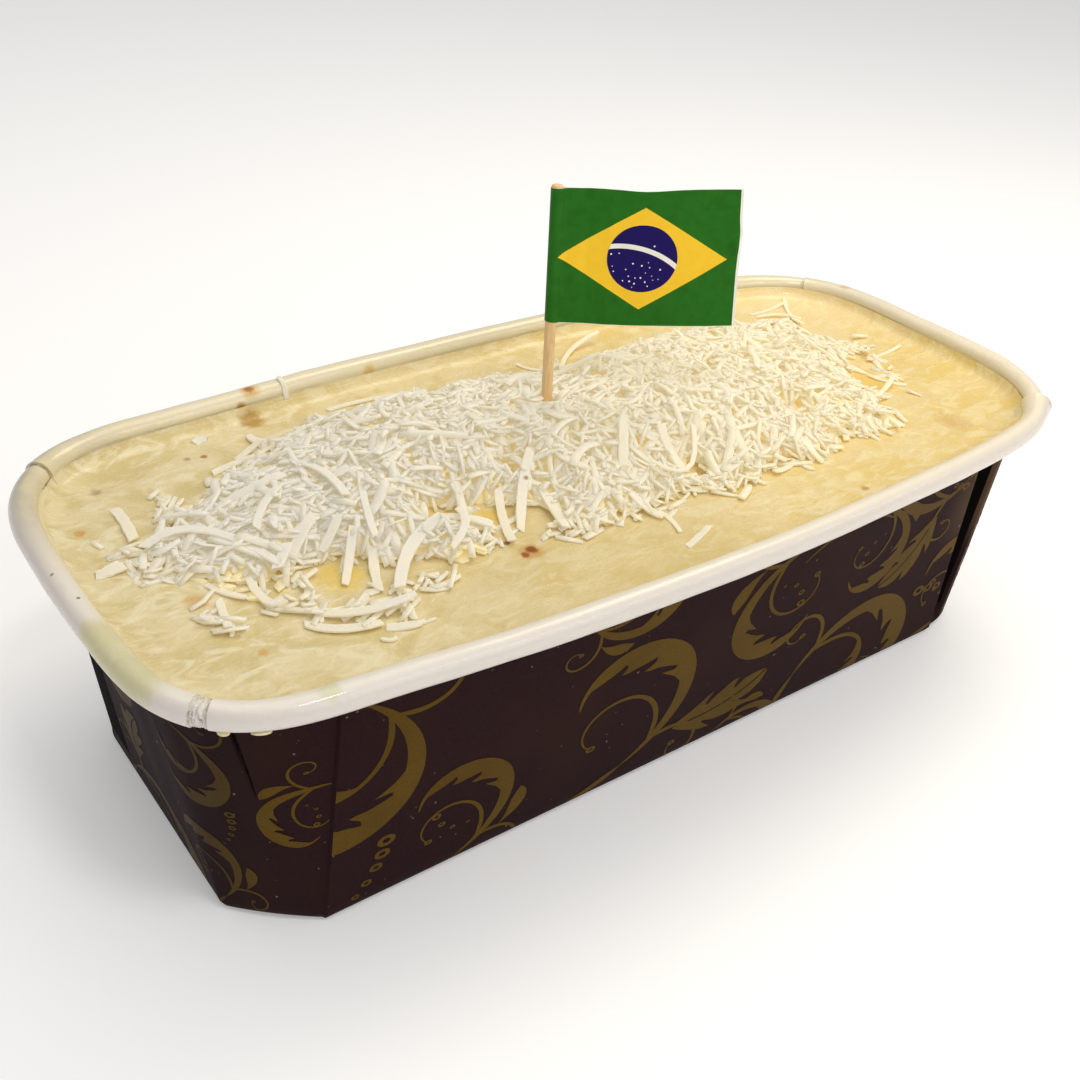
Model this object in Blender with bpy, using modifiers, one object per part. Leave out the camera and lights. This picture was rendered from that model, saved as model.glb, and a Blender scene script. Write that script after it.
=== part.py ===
"""Coconut loaf cake in its rolled-rim paper pan, under shredded coconut, with a flag on a pick.

The pan is a loft between a cut-cornered base and a round-cornered rim whose long sides bow out
under the weight of the cake. Its outside faces, its inside faces and the cake are worked out from
the same two outlines. +X runs along the loaf and -Y is its front. The origin is the middle of the
pan's box, on the surface that the pan stands on. Arrays are in millimetres until a mesh is made.
"""

import math
import random

import bmesh
import bpy
import numpy as np
from mathutils import Vector

MM = 0.001

# The rolled rim: the roll's centre line, with corners in the order front left, front right,
# back right, back left, and sides in the order front, right, back, left
RIM_HALF_LENGTH = 99.6
RIM_HALF_WIDTH = 40.6
RIM_CORNERS = (22.0, 31.0, 33.0, 28.0)
RIM_CORNER_POWER = 3.0
RIM_SWELL = (8.2, 0.0, 4.6, 3.0)
RIM_CORNER_DIP = (1.4, 0.9, 1.3, 0.3)
RIM_HEIGHT = 57.7
ROLL_RADIUS = 2.3
ROLL_SEAM_DEPTH = 0.9

# The walls and the base, whose corners are cut
BASE_HALF_LENGTH = 91.5
BASE_HALF_WIDTH = 35.9
BASE_CUTS_ALONG = (12.8, 15.0, 12.8, 15.0)
BASE_CUTS_ACROSS = (11.3, 12.0, 11.3, 12.0)
BASE_CUT_ROUND = (0.15, 0.9, 0.15, 0.9)
WALL_INSET = 3.0
PAPER = 0.8
FLAP_STEP = 0.6
PLEAT_DEPTH = 3.0
PLEAT_TOP = 51.5
PLEAT_FOOT = 2.0
PLEAT_FADES = (6.0, 3.0)
BASE_EDGE = 1.8
WALL_BEND = 8.0

# The cake
FIT_GAP = 0.3
CAKE_LEVEL = 52.6
CAKE_EDGE_RISE = 0.3
CAKE_RELIEF = 0.3

# The heap of shredded coconut
HEAP_CENTRE = (-3.0, 2.5)
HEAP_HALF_LENGTH = 82.0
HEAP_HALF_WIDTH = 28.0
HEAP_HEIGHT = 7.3
HEAP_EDGE = 0.9
HEAP_SQUARENESS = 2.8
HEAP_LOBES = ((3, 0.05, 0.6), (7, 0.05, 1.9), (13, 0.03, 0.0))
HEAP_LUMPS = 0.9
HEAP_COLUMNS = 48
HEAP_RINGS = (1.0, 0.9, 0.72, 0.5, 0.25)
SHRED_COUNT = 118
SHRED_TRIES = 20000
SHRED_SPACING = 8.0
SHRED_LENGTHS = (8.0, 19.0)
SHRED_WIDTHS = (1.2, 2.1)
SHRED_THICKNESS = (0.6, 0.9)
SHRED_TILT = 1.2
SHRED_BEND = 6.0
SHRED_CURL = 4.0
SHRED_RAISED = 0.1
SHRED_FLOOR = 0.35
SHRED_REACH = 0.97
SLOPE_STEP = 2.0
SHRED_SEED = 11
CLEAR_OF_PICK = 3.2
MIDDLE_CLEAR_OF_PICK = 4.0

# The pick and its flag
PICK_RADIUS = 1.05
PICK_LENGTH = 65.0
PICK_POINT = 7.0
PICK_FOOT = (-4.5, 8.4, 60.6)
PICK_LEAN = (0.052, 0.104, 1.0)
PICK_STANDS = 41.2
FLAG_WIDTH = 35.0
FLAG_HEIGHT = 25.0
FLAG_PAPER = 0.25
FLAG_TOP_BELOW_PICK = 0.5
FLAG_TURN = math.radians(-31.8)
FLAG_WAVE = 0.7
FLAG_WAVES_ALONG = 7.0
FLAG_WAVES_UP = 1.6
PICK_SIDES = 20
HOLE_SIDES = 16
HOLE_SPARE_BELOW = 1.0
HOLE_SPARE_ABOVE = 12.0

# Columns round the pan, as fractions of each stretch. The rolls meet at the middle of a corner.
SEAM_COLUMNS = (0.478, 0.49, 0.51, 0.522)
PLAIN_CORNER = (0.0, 0.12, 0.24, 0.36, *SEAM_COLUMNS, 0.64, 0.76, 0.88, 1.0)
STRETCHES = (
    ("corner", 0, PLAIN_CORNER),
    ("side", 0, (0.003, 0.08, 0.18, 0.28, 0.39, 0.5, 0.61, 0.72, 0.82, 0.92, 0.97, 0.985, 0.997)),
    ("corner", 1, (0.0, 0.12, 0.17, 0.22, 0.34, *SEAM_COLUMNS, 0.64, 0.76, 0.88, 1.0)),
    ("side", 1, (0.15, 0.38, 0.62, 0.85)),
    ("corner", 2, PLAIN_CORNER),
    ("side", 2, (0.003, 0.08, 0.18, 0.28, 0.39, 0.5, 0.61, 0.72, 0.82, 0.92, 0.997)),
    ("corner", 3, (0.0, 0.12, 0.24, 0.36, *SEAM_COLUMNS, 0.6, 0.66, 0.72, 0.78, 1.0)),
    ("side", 3, (0.012, 0.05, 0.1, 0.3, 0.5, 0.7, 0.88)),
)
PLEAT_COLUMNS = ((1, 0.0, 0.12), (3, 0.78, 1.0))


def clear_scene():
    """Removes what the scene holds, with its meshes and materials."""
    for thing in list(bpy.data.objects):
        bpy.data.objects.remove(thing, do_unlink=True)
    for mesh in list(bpy.data.meshes):
        bpy.data.meshes.remove(mesh)


def collection(name):
    """A collection under the scene's own."""
    made = bpy.data.collections.new(name)
    bpy.context.scene.collection.children.link(made)
    return made


def finish(name, colour, roughness, metallic=0.0):
    """A Principled material."""
    made = bpy.data.materials.new(name)
    made.use_nodes = True
    shader = made.node_tree.nodes["Principled BSDF"]
    shader.inputs["Base Color"].default_value = (*colour, 1.0)
    shader.inputs["Roughness"].default_value = roughness
    shader.inputs["Metallic"].default_value = metallic
    return made


def solid(name, points, faces, where, material=None):
    """An object from points in millimetres and faces that point outwards."""
    mesh = bpy.data.meshes.new(name)
    mesh.from_pydata((np.asarray(points) * MM).tolist(), [], faces)
    mesh.validate()
    made = bpy.data.objects.new(name, mesh)
    where.objects.link(made)
    if material:
        mesh.materials.append(material)
    return made


def stretch_points(kind, index, fraction, half, cuts, power, roundness):
    """One stretch of an outline: a side, or a corner that runs from straight cut to round."""
    along, across = half
    if kind == "side":
        ends = {
            0: ((-along + cuts[0][0], -across), (along - cuts[1][0], -across)),
            1: ((along, -across + cuts[1][1]), (along, across - cuts[2][1])),
            2: ((along - cuts[2][0], across), (-along + cuts[3][0], across)),
            3: ((-along, across - cuts[3][1]), (-along, -across + cuts[0][1])),
        }[index]
        start, end = np.array(ends[0]), np.array(ends[1])
        return start + (end - start) * fraction[:, None]
    sign_x, sign_y = ((-1, -1), (1, -1), (1, 1), (-1, 1))[index]
    cut_x, cut_y = cuts[index]
    turn = fraction * math.pi / 2
    straight = np.stack([1 - fraction, fraction], 1)
    arc = np.stack([np.cos(turn), np.sin(turn)], 1).clip(0.0, 1.0) ** (2 / power)
    reach = straight * (1 - roundness[index]) + arc * roundness[index]
    if sign_x * sign_y < 0:
        reach = reach[:, ::-1]
    middle = np.array([sign_x * (along - cut_x), sign_y * (across - cut_y)])
    return middle + reach * np.array([sign_x * cut_x, sign_y * cut_y])


def outline(half, cuts, power, roundness):
    """The closed outline, anticlockwise seen from above, with one point for each column."""
    runs = [
        stretch_points(kind, index, np.array(fractions), half, cuts, power, roundness)
        for kind, index, fractions in STRETCHES
    ]
    return np.concatenate(runs)


def columns_where(test):
    """Marks the columns for which test(kind, index, fraction) is true."""
    return np.array([test(kind, index, t) for kind, index, fractions in STRETCHES for t in fractions])


def spread(marks):
    """The marked columns and the one on either side."""
    return marks | np.roll(marks, 1) | np.roll(marks, -1)


class Pan:
    """The two outlines of the pan and what is worked out from them."""

    def __init__(self):
        corners = [(radius, radius) for radius in RIM_CORNERS]
        rim = outline((RIM_HALF_LENGTH, RIM_HALF_WIDTH), corners, RIM_CORNER_POWER, (1.0,) * 4)
        self.lift = self.corner_dip(rim)
        rim = rim + self.swell(rim)
        ahead = np.roll(rim, -1, 0) - np.roll(rim, 1, 0)
        outward = np.stack([ahead[:, 1], -ahead[:, 0]], 1)
        self.outward = outward / np.linalg.norm(outward, axis=1)[:, None]
        edge = rim + self.outward * ROLL_RADIUS
        centre = (edge.min(0) + edge.max(0)) / 2
        self.rim = rim - centre
        cuts = list(zip(BASE_CUTS_ALONG, BASE_CUTS_ACROSS))
        base = outline((BASE_HALF_LENGTH, BASE_HALF_WIDTH), cuts, 2.0, BASE_CUT_ROUND)
        self.base = base - centre
        self.wall_top = self.rim - self.outward * WALL_INSET
        self.roll_height = RIM_HEIGHT - ROLL_RADIUS + self.lift
        pleats = {(index, t) for index, *ts in PLEAT_COLUMNS for t in ts}
        self.pleats = columns_where(lambda kind, index, t: kind == "corner" and (index, t) in pleats)
        self.flaps = columns_where(lambda kind, index, t: kind == "side" and index in (0, 2))
        self.seams = columns_where(lambda kind, index, t: kind == "corner" and t in SEAM_COLUMNS[1:3])

    @staticmethod
    def swell(points):
        """How far each point of the rim bows outwards: most at the middle of its side."""
        x, y = points[:, 0] / RIM_HALF_LENGTH, points[:, 1] / RIM_HALF_WIDTH
        across = np.where(y < 0, -RIM_SWELL[0], RIM_SWELL[2]) * (1 - x * x) * y * y
        along = np.where(x < 0, -RIM_SWELL[3], RIM_SWELL[1]) * (1 - y * y) * x * x
        return np.stack([along, across], 1)

    @staticmethod
    def corner_dip(points):
        """How far each point of the rim hangs below its full height: only at the corners."""
        x, y = points[:, 0] / RIM_HALF_LENGTH, points[:, 1] / RIM_HALF_WIDTH
        front, back = np.where(x < 0, *RIM_CORNER_DIP[:2]), np.where(x < 0, *RIM_CORNER_DIP[:1:-1])
        return -np.where(y < 0, front, back) * np.abs(x * y) ** 3

    def wall(self, height, offset, pleats):
        """The wall's outline at a height, moved outwards by offset, with the pleats folded in."""
        top = self.roll_height - ROLL_RADIUS
        share = (height / top)[:, None]
        flat = self.base + (self.wall_top - self.base) * share
        low, high = PLEAT_FADES
        fade = np.minimum((height - PLEAT_FOOT) / low, (PLEAT_TOP - height) / high).clip(0.0, 1.0)
        moved = offset - pleats * PLEAT_DEPTH * fade
        return np.column_stack([flat + self.outward * moved[:, None], height])

    def level(self, height):
        """A height for every column, no higher than the wall's top."""
        return np.minimum(np.full(len(self.rim), height), self.roll_height - ROLL_RADIUS)


def lofted(rows, name, where, material):
    """A closed solid through rows of points that share their columns, with flat ends.

    Every quad is split from its lower left to its upper right, so that two walls side by side
    twist alike.
    """
    count = len(rows[0])
    points = np.concatenate(rows)
    faces = []
    for row in range(len(rows) - 1):
        rising = rows[row + 1][:, 2].mean() >= rows[row][:, 2].mean()
        for column in range(count):
            after = (column + 1) % count
            a, b = row * count + column, row * count + after
            c, d = b + count, a + count
            faces += [(a, b, c), (a, c, d)] if rising else [(a, b, d), (b, c, d)]
    last = (len(rows) - 1) * count
    faces.append(tuple(reversed(range(count))))
    faces.append(tuple(range(last, last + count)))
    return solid(name, points, faces, where, material)


def make_pan(pan, where, material):
    """Walls and base of paper, with the wall's top edge rolled outwards into a rim."""
    flaps = pan.flaps * FLAP_STEP
    rows = [pan.wall(pan.level(0.0), flaps - BASE_EDGE, pan.pleats)]
    rows.append(pan.wall(pan.level(0.5), flaps - 0.35 * BASE_EDGE, pan.pleats))
    for height in (BASE_EDGE, WALL_BEND, PLEAT_TOP - PLEAT_FADES[1], PLEAT_TOP):
        rows.append(pan.wall(pan.level(height), flaps, pan.pleats))
    rows.append(pan.wall(pan.roll_height - ROLL_RADIUS, flaps * 0.5, pan.pleats))
    radius = ROLL_RADIUS - pan.seams * ROLL_SEAM_DEPTH
    for degrees in (-120, -80, -40, 0, 40, 80, 120, 155, 180):
        turn = math.radians(degrees)
        along = pan.rim + pan.outward * (radius * math.cos(turn))[:, None]
        rows.append(np.column_stack([along, pan.roll_height + radius * math.sin(turn)]))
    inner_pleats = spread(pan.pleats)
    rows.append(pan.wall(pan.roll_height - ROLL_RADIUS, -PAPER, inner_pleats))
    for height in (PLEAT_TOP, PLEAT_TOP - PLEAT_FADES[1], WALL_BEND, BASE_EDGE + PAPER):
        rows.append(pan.wall(pan.level(height), -PAPER, inner_pleats))
    rows.append(pan.wall(pan.level(PAPER), -PAPER - BASE_EDGE, inner_pleats))
    return lofted(rows, "paper_pan", where, material)


def cake_relief(points):
    """Slow swells of the cake's top, in millimetres."""
    x, y = points[:, 0], points[:, 1]
    waves = np.sin(x / 6.1 + 0.7) + np.sin(y / 4.7 - x / 9.3) + np.sin((x + 1.7 * y) / 12.9 + 2.0)
    return CAKE_RELIEF * waves / 3


def make_cake(pan, where, material):
    """The cake up to the level that shows: its sides follow the pan, its middle is level."""
    pleats = spread(spread(pan.pleats))
    inset = -PAPER - FIT_GAP
    rows = [pan.wall(pan.level(PAPER + FIT_GAP), inset - BASE_EDGE, pleats)]
    for height in (BASE_EDGE + PAPER + FIT_GAP, WALL_BEND, PLEAT_TOP - PLEAT_FADES[1], PLEAT_TOP - 0.2):
        rows.append(pan.wall(pan.level(height), inset, pleats))
    edge = pan.wall(pan.level(CAKE_LEVEL), inset, pleats)
    for size, rise in ((1.0, 1.0), (0.985, 0.3), (0.95, 0.0), (0.9, 0.0), (0.85, 0.0)):
        ring = edge * np.array([size, size, 1.0])
        relief = cake_relief(ring) * (0.85 < size < 1.0)
        ring[:, 2] = CAKE_LEVEL + CAKE_EDGE_RISE * rise + relief
        rows.append(ring)
    return lofted(rows, "cake", where, material)


def heap_outline(angle):
    """The heap's edge from above: an oblong with uneven lobes."""
    lobes = 1 + sum(depth * np.sin(number * angle + shift) for number, depth, shift in HEAP_LOBES)
    c, s = np.cos(angle), np.sin(angle)
    power = HEAP_SQUARENESS
    reach = (np.abs(c / HEAP_HALF_LENGTH) ** power + np.abs(s / HEAP_HALF_WIDTH) ** power) ** (-1 / power)
    return reach * lobes


def heap_top(x, y):
    """Height of the heap's core: it rises from a low edge to an uneven middle."""
    dx, dy = x - HEAP_CENTRE[0], y - HEAP_CENTRE[1]
    share = np.clip(np.hypot(dx, dy) / heap_outline(np.arctan2(dy, dx)), 0.0, 1.0)
    lumps = np.sin(x / 7.3 + 1.1) * np.sin(y / 6.1 + 0.4) + 0.6 * np.sin(x / 16.0 - y / 9.0 + 2.2)
    rise = (HEAP_HEIGHT - HEAP_EDGE) * (1 - share ** 2.6) + HEAP_LUMPS * lumps * (1 - share ** 2)
    return CAKE_LEVEL + FIT_GAP + HEAP_EDGE + np.maximum(rise, 0.0)


def heap_core(where):
    """The mound under the shreds."""
    angle = np.linspace(0, 2 * math.pi, HEAP_COLUMNS, endpoint=False)
    reach = heap_outline(angle)
    direction = np.stack([np.cos(angle), np.sin(angle)], 1)
    foot = np.array(HEAP_CENTRE) + direction * reach[:, None]
    rows = [np.column_stack([foot, np.full(HEAP_COLUMNS, CAKE_LEVEL + FIT_GAP)])]
    for size in HEAP_RINGS:
        ring = np.array(HEAP_CENTRE) + direction * reach[:, None] * size
        rows.append(np.column_stack([ring, heap_top(ring[:, 0], ring[:, 1])]))
    rows[-1][:, 2] = rows[-1][:, 2].mean()
    return lofted(rows, "shredded_coconut", where, None)


def strip(middle, heading, tilt, length, width, thickness, bend, curl):
    """A shred: a bar of four stations, bent in plan and tilted, its ends curled up."""
    way = np.linspace(-0.5, 0.5, 4)
    ahead = np.array([math.cos(heading), math.sin(heading)])
    side = np.array([-ahead[1], ahead[0]])
    path = np.array(middle[:2]) + np.outer(way * length, ahead) + np.outer(bend * way ** 2, side)
    height = middle[2] + tilt * way + curl * way ** 2
    floor = CAKE_LEVEL + FIT_GAP + SHRED_FLOOR
    narrowing = np.array([0.7, 1.0, 1.0, 0.8]) * width / 2
    rows = []
    for across, up in ((-1, -1), (1, -1), (1, 1), (-1, 1)):
        ring = np.column_stack([path + np.outer(across * narrowing, side), height + up * thickness / 2])
        rows.append(ring)
    corners = np.stack(rows, 1)
    low = corners[:, :2, 2].mean(1)
    corners[:, :, 2] += np.maximum(floor - low, 0.0)[:, None]
    return corners.reshape(-1, 3)


def strip_faces():
    """Faces of a bar with four stations of four corners."""
    faces = [(3, 2, 1, 0), (12, 13, 14, 15)]
    for station in range(3):
        for corner in range(4):
            low, high = station * 4, station * 4 + 4
            after = (corner + 1) % 4
            faces.append((low + corner, low + after, high + after, high + corner))
    return faces


def evaluated_copy(thing, name, where):
    """A new object with the mesh that the modifiers give."""
    graph = bpy.context.evaluated_depsgraph_get()
    mesh = bpy.data.meshes.new_from_object(thing.evaluated_get(graph))
    made = bpy.data.objects.new(name, mesh)
    where.objects.link(made)
    return made


def keep_largest(thing):
    """Keeps the largest connected body: drops loose scraps and fills sealed hollows."""
    shape = bmesh.new()
    shape.from_mesh(thing.data)
    shape.verts.ensure_lookup_table()
    left = set(shape.verts)
    bodies = []
    while left:
        body, front = set(), [left.pop()]
        while front:
            vertex = front.pop()
            body.add(vertex)
            for edge in vertex.link_edges:
                other = edge.other_vert(vertex)
                if other in left:
                    left.discard(other)
                    front.append(other)
        bodies.append(body)
    bodies.sort(key=len)
    loose = [vertex for body in bodies[:-1] for vertex in body]
    bmesh.ops.delete(shape, geom=loose, context="VERTS")
    shape.to_mesh(thing.data)
    shape.free()


def pick_axis():
    """The pick's direction, upwards."""
    return Vector(PICK_LEAN).normalized()


def heap_slope(x, y, heading):
    """The heap's rise for each millimetre along a heading."""
    step = np.array([-SLOPE_STEP, SLOPE_STEP])
    heights = heap_top(x + step * math.cos(heading), y + step * math.sin(heading))
    return float(heights[1] - heights[0]) / (2 * SLOPE_STEP)


def make_shreds(where):
    """Lays shreds over the core, clear of the pick, each with its middle sunk into the core."""
    rng = random.Random(SHRED_SEED)
    foot, axis = np.array(PICK_FOOT), np.array(pick_axis())
    made, taken, tries = [], [], 0
    while len(made) < SHRED_COUNT and tries < SHRED_TRIES:
        tries += 1
        angle = rng.uniform(0, 2 * math.pi)
        share = math.sqrt(rng.uniform(0, 1)) * SHRED_REACH
        reach = float(heap_outline(np.array([angle]))[0]) * share
        x, y = HEAP_CENTRE[0] + reach * math.cos(angle), HEAP_CENTRE[1] + reach * math.sin(angle)
        spacing = SHRED_SPACING * (1 - tries / SHRED_TRIES)
        if any(math.hypot(x - a, y - b) < spacing for a, b in taken):
            continue
        z = float(heap_top(np.array([x]), np.array([y]))[0]) + SHRED_RAISED
        length = rng.uniform(*SHRED_LENGTHS)
        thickness = rng.uniform(*SHRED_THICKNESS)
        heading = rng.uniform(0, math.pi)
        tilt = heap_slope(x, y, heading) * length + rng.uniform(-SHRED_TILT, SHRED_TILT)
        width = rng.uniform(*SHRED_WIDTHS)
        bend, curl = rng.uniform(-SHRED_BEND, SHRED_BEND), rng.uniform(0.0, SHRED_CURL)
        shape = strip((x, y, z), heading, tilt, length, width, thickness, bend, curl)
        away = shape - foot
        away -= np.outer(away @ axis, axis)
        too_near = np.linalg.norm(away, axis=1).min() < CLEAR_OF_PICK
        if too_near or math.hypot(x - foot[0], y - foot[1]) < MIDDLE_CLEAR_OF_PICK:
            continue
        taken.append((x, y))
        made.append(solid(f"shred_{len(made):03d}", shape, strip_faces(), where))


def cylinder_between(name, start, end, radius, sides, where):
    """A cylinder from one point to another, in millimetres."""
    start, end = Vector(start) * MM, Vector(end) * MM
    bpy.ops.mesh.primitive_cylinder_add(vertices=sides, radius=radius * MM, depth=(end - start).length)
    made = bpy.context.object
    made.name = name
    made.location = (start + end) / 2
    made.rotation_euler = (end - start).to_track_quat("Z", "Y").to_euler()
    for holder in list(made.users_collection):
        holder.objects.unlink(made)
    where.objects.link(made)
    return made


def bore_for_pick(thing, cutter):
    """Cuts the pick's hole."""
    cut = thing.modifiers.new("pick_hole", "BOOLEAN")
    cut.operation = "DIFFERENCE"
    cut.solver = "MANIFOLD"
    cut.object = cutter


def make_heap(where, guides, cutter, material):
    """Core and shreds joined into one solid, with the pick's hole through it."""
    loose = collection("loose_shreds")
    core = heap_core(guides)
    make_shreds(loose)
    joined = core.modifiers.new("shreds", "BOOLEAN")
    joined.operation = "UNION"
    joined.operand_type = "COLLECTION"
    joined.collection = loose
    joined.solver = "MANIFOLD"
    bore_for_pick(core, cutter)
    made = evaluated_copy(core, "heap", where)
    for part in [*loose.objects, core]:
        bpy.data.objects.remove(part, do_unlink=True)
    bpy.data.collections.remove(loose)
    keep_largest(made)
    made.name = "shredded_coconut"
    made.data.materials.clear()
    made.data.materials.append(material)


def make_pick(where, material):
    """A turned wooden stick: blunt at the top, pointed at the foot."""
    profile = [(0.0, 0.0), (0.8, 0.0), (1.0, -0.3), (1.0, PICK_POINT - PICK_LENGTH), (0.0, -PICK_LENGTH)]
    points = [(radius * PICK_RADIUS, 0.0, height) for radius, height in profile]
    edges = [(number, number + 1) for number in range(len(points) - 1)]
    mesh = bpy.data.meshes.new("pick")
    mesh.from_pydata((np.array(points) * MM).tolist(), edges, [])
    made = bpy.data.objects.new("pick", mesh)
    where.objects.link(made)
    turned = made.modifiers.new("turned", "SCREW")
    turned.steps = turned.render_steps = PICK_SIDES
    turned.use_merge_vertices = True
    turned.merge_threshold = 0.00001
    axis = pick_axis()
    made.location = (Vector(PICK_FOOT) + axis * PICK_STANDS) * MM
    made.rotation_euler = axis.to_track_quat("Z", "Y").to_euler()
    mesh.materials.append(material)


def flag_frame():
    """The flag's own directions: out from the pick, square to its face, and up the pick."""
    axis = pick_axis()
    out = Vector((math.cos(FLAG_TURN), math.sin(FLAG_TURN), 0.0))
    out = (out - axis * out.dot(axis)).normalized()
    return np.array(out), np.array(axis.cross(out)), np.array(axis)


def make_flag(where, material):
    """Two paper leaves, folded round the pick as a sleeve and glued to each other beyond it."""
    out, across, up = flag_frame()
    outer = PICK_RADIUS + FIT_GAP + FLAG_PAPER
    inner = PICK_RADIUS + FIT_GAP
    opening = math.asin(FLAG_PAPER / outer)
    turn = np.linspace(opening, 2 * math.pi - opening, 21)
    ring = np.stack([np.cos(turn), np.sin(turn)], 1)
    reach = np.linspace(outer * math.cos(opening), FLAG_WIDTH - outer, 12)[1:]
    face = np.column_stack([reach, np.full(11, FLAG_PAPER)])
    loop = np.concatenate([ring * outer, face * [1, -1], face[::-1]])
    hole = ring * inner
    top = np.array(PICK_FOOT) + up * (PICK_STANDS - FLAG_TOP_BELOW_PICK)
    rows, count = [], len(loop) + len(hole)
    for level in np.linspace(0.0, 1.0, 6):
        flat = np.concatenate([loop, hole])
        free = np.clip((flat[:, 0] - outer) / FLAG_WIDTH, 0.0, 1.0)
        wave = FLAG_WAVE * np.sin(free * FLAG_WAVES_ALONG + level * FLAG_WAVES_UP) * free
        place = top - up * FLAG_HEIGHT * (1 - level)
        rows.append(place + np.outer(flat[:, 0], out) + np.outer(flat[:, 1] + wave, across))
    faces = []
    for row in range(len(rows) - 1):
        low, high = row * count, (row + 1) * count
        for start, size, turned in ((0, len(loop), False), (len(loop), len(hole), True)):
            for number in range(size):
                here, after = start + number, start + (number + 1) % size
                quad = (low + here, low + after, high + after, high + here)
                faces.append(quad[::-1] if turned else quad)
    arc, tail, first_hole = len(ring), len(face), len(loop)
    cells = [(k, k + 1, first_hole + k + 1, first_hole + k) for k in range(arc - 1)]
    cells.append((0, first_hole, first_hole + arc - 1, arc - 1))
    last = len(loop) - 1
    cells.append((arc - 1, arc, last, 0))
    cells += [(arc + k, arc + k + 1, last - k - 1, last - k) for k in range(tail - 1)]
    base = (len(rows) - 1) * count
    faces += [tuple(reversed(cell)) for cell in cells]
    faces += [tuple(base + corner for corner in cell) for cell in cells]
    return solid("paper_flag", np.concatenate(rows), faces, where, material)


clear_scene()
parts = collection("coconut_loaf_cake")
guides = collection("guides")
pan = Pan()

make_pan(pan, parts, finish("brown_paper", (0.045, 0.026, 0.022), 0.55))
cake = make_cake(pan, parts, finish("cake", (0.80, 0.66, 0.38), 0.4))

axis = pick_axis()
foot = Vector(PICK_FOOT)
hole_start = foot - axis * (PICK_LENGTH - PICK_STANDS + HOLE_SPARE_BELOW)
hole_end = foot + axis * HOLE_SPARE_ABOVE
hole = cylinder_between("pick_hole", hole_start, hole_end, PICK_RADIUS + FIT_GAP, HOLE_SIDES, guides)
hole.hide_render = True
hole.display_type = "WIRE"
bore_for_pick(cake, hole)

make_heap(parts, guides, hole, finish("coconut", (0.85, 0.83, 0.76), 0.6))
make_pick(parts, finish("pick_wood", (0.66, 0.42, 0.22), 0.6))
make_flag(parts, finish("flag_paper", (0.02, 0.16, 0.02), 0.5))
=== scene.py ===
"""Looks of a coconut loaf cake in its rolled-rim paper pan, under shredded coconut, with a flag.

Each section makes one piece, or one group of like pieces. Lengths are millimetres until a mesh is
made. +X runs along the loaf and -Y is its front. A place round the pan is a number from 0 to 8:
whole parts 0, 2, 4 and 6 are the corners from the front left one anticlockwise, seen from above,
and 1, 3, 5 and 7 are the sides from the front one on. Its fraction says how far along.
"""

import math

import bpy
import numpy as np
from mathutils import Matrix, Vector


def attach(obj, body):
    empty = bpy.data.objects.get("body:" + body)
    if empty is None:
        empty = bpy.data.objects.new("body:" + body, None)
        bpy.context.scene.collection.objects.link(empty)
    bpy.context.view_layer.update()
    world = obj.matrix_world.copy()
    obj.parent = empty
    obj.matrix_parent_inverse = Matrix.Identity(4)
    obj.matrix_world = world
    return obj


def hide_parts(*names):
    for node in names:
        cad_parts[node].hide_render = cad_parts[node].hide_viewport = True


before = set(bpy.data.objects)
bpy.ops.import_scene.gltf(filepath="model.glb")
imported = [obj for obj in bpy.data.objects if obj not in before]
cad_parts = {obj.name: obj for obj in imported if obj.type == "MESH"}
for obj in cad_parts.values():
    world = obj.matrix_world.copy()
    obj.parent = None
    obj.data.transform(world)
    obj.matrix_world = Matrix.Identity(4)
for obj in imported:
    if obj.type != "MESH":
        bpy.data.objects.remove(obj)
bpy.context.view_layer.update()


# The pan's walls and base. They are one sheet of dark brown baking paper, folded into pleats at two
# corners, creased at a third and glued. The long sides are flaps that lap over the corners, so their
# ends stand a little proud.
MM = 0.001
RIM_HALF = (99.6, 40.6)
RIM_CORNERS = ((22.0, 22.0), (31.0, 31.0), (33.0, 33.0), (28.0, 28.0))
RIM_ROUND = (1.0, 1.0, 1.0, 1.0)
RIM_POWER = 3.0
RIM_SWELL = (8.2, 0.0, 4.6, 3.0)
RIM_CORNER_DIP = (1.4, 0.9, 1.3, 0.3)
RIM_HEIGHT = 57.7
ROLL_RADIUS = 2.3
BASE_HALF = (91.5, 35.9)
BASE_CORNERS = ((12.8, 11.3), (15.0, 12.0), (12.8, 11.3), (15.0, 12.0))
BASE_ROUND = (0.15, 0.9, 0.15, 0.9)
BASE_EDGE = 1.8
WALL_INSET = 3.0
PAPER = 0.4
FLAP_STEP = 0.6
FLAP_ENDS = ((1.0, 1.003, 1.997, 2.0, 5.0, 5.003, 5.997, 6.0), (0, 1, 1, 0, 0, 1, 1, 0))
PLEAT_DEPTH = 3.0
PLEAT_HEIGHTS = (2.0, 8.0, 48.5, 51.5)
PLEATS = ((1.997, 2.0, 2.12, 2.17, 6.72, 6.78, 7.0, 7.012), (0, 1, 1, 0, 0, 1, 1, 0))
PLEAT_SHADE_SPANS = ((2.0, 2.158), (6.75, 7.225))
PLEAT_SHADE_ROWS = (4, 45)
DART = ((0.624, 33.0), (0.55, 50.0))
DART_WIDTH = 0.009
DART_DEPTH = 0.9
DART_GAPE = 0.013


def corner_curve(number, part, half, cuts, power, roundness):
    """A corner: between its straight cut and a superellipse, by its roundness."""
    sign = np.array(((-1, -1), (1, -1), (1, 1), (-1, 1))[number])
    turn = part * math.pi / 2
    arc = np.stack([np.cos(turn), np.sin(turn)], -1).clip(0.0, 1.0) ** (2 / power)
    reach = np.stack([1 - part, part], -1) * (1 - roundness[number]) + arc * roundness[number]
    if number % 2:
        reach = reach[..., ::-1]
    return sign * (np.array(half) - cuts[number]) + sign * reach * cuts[number]


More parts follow.
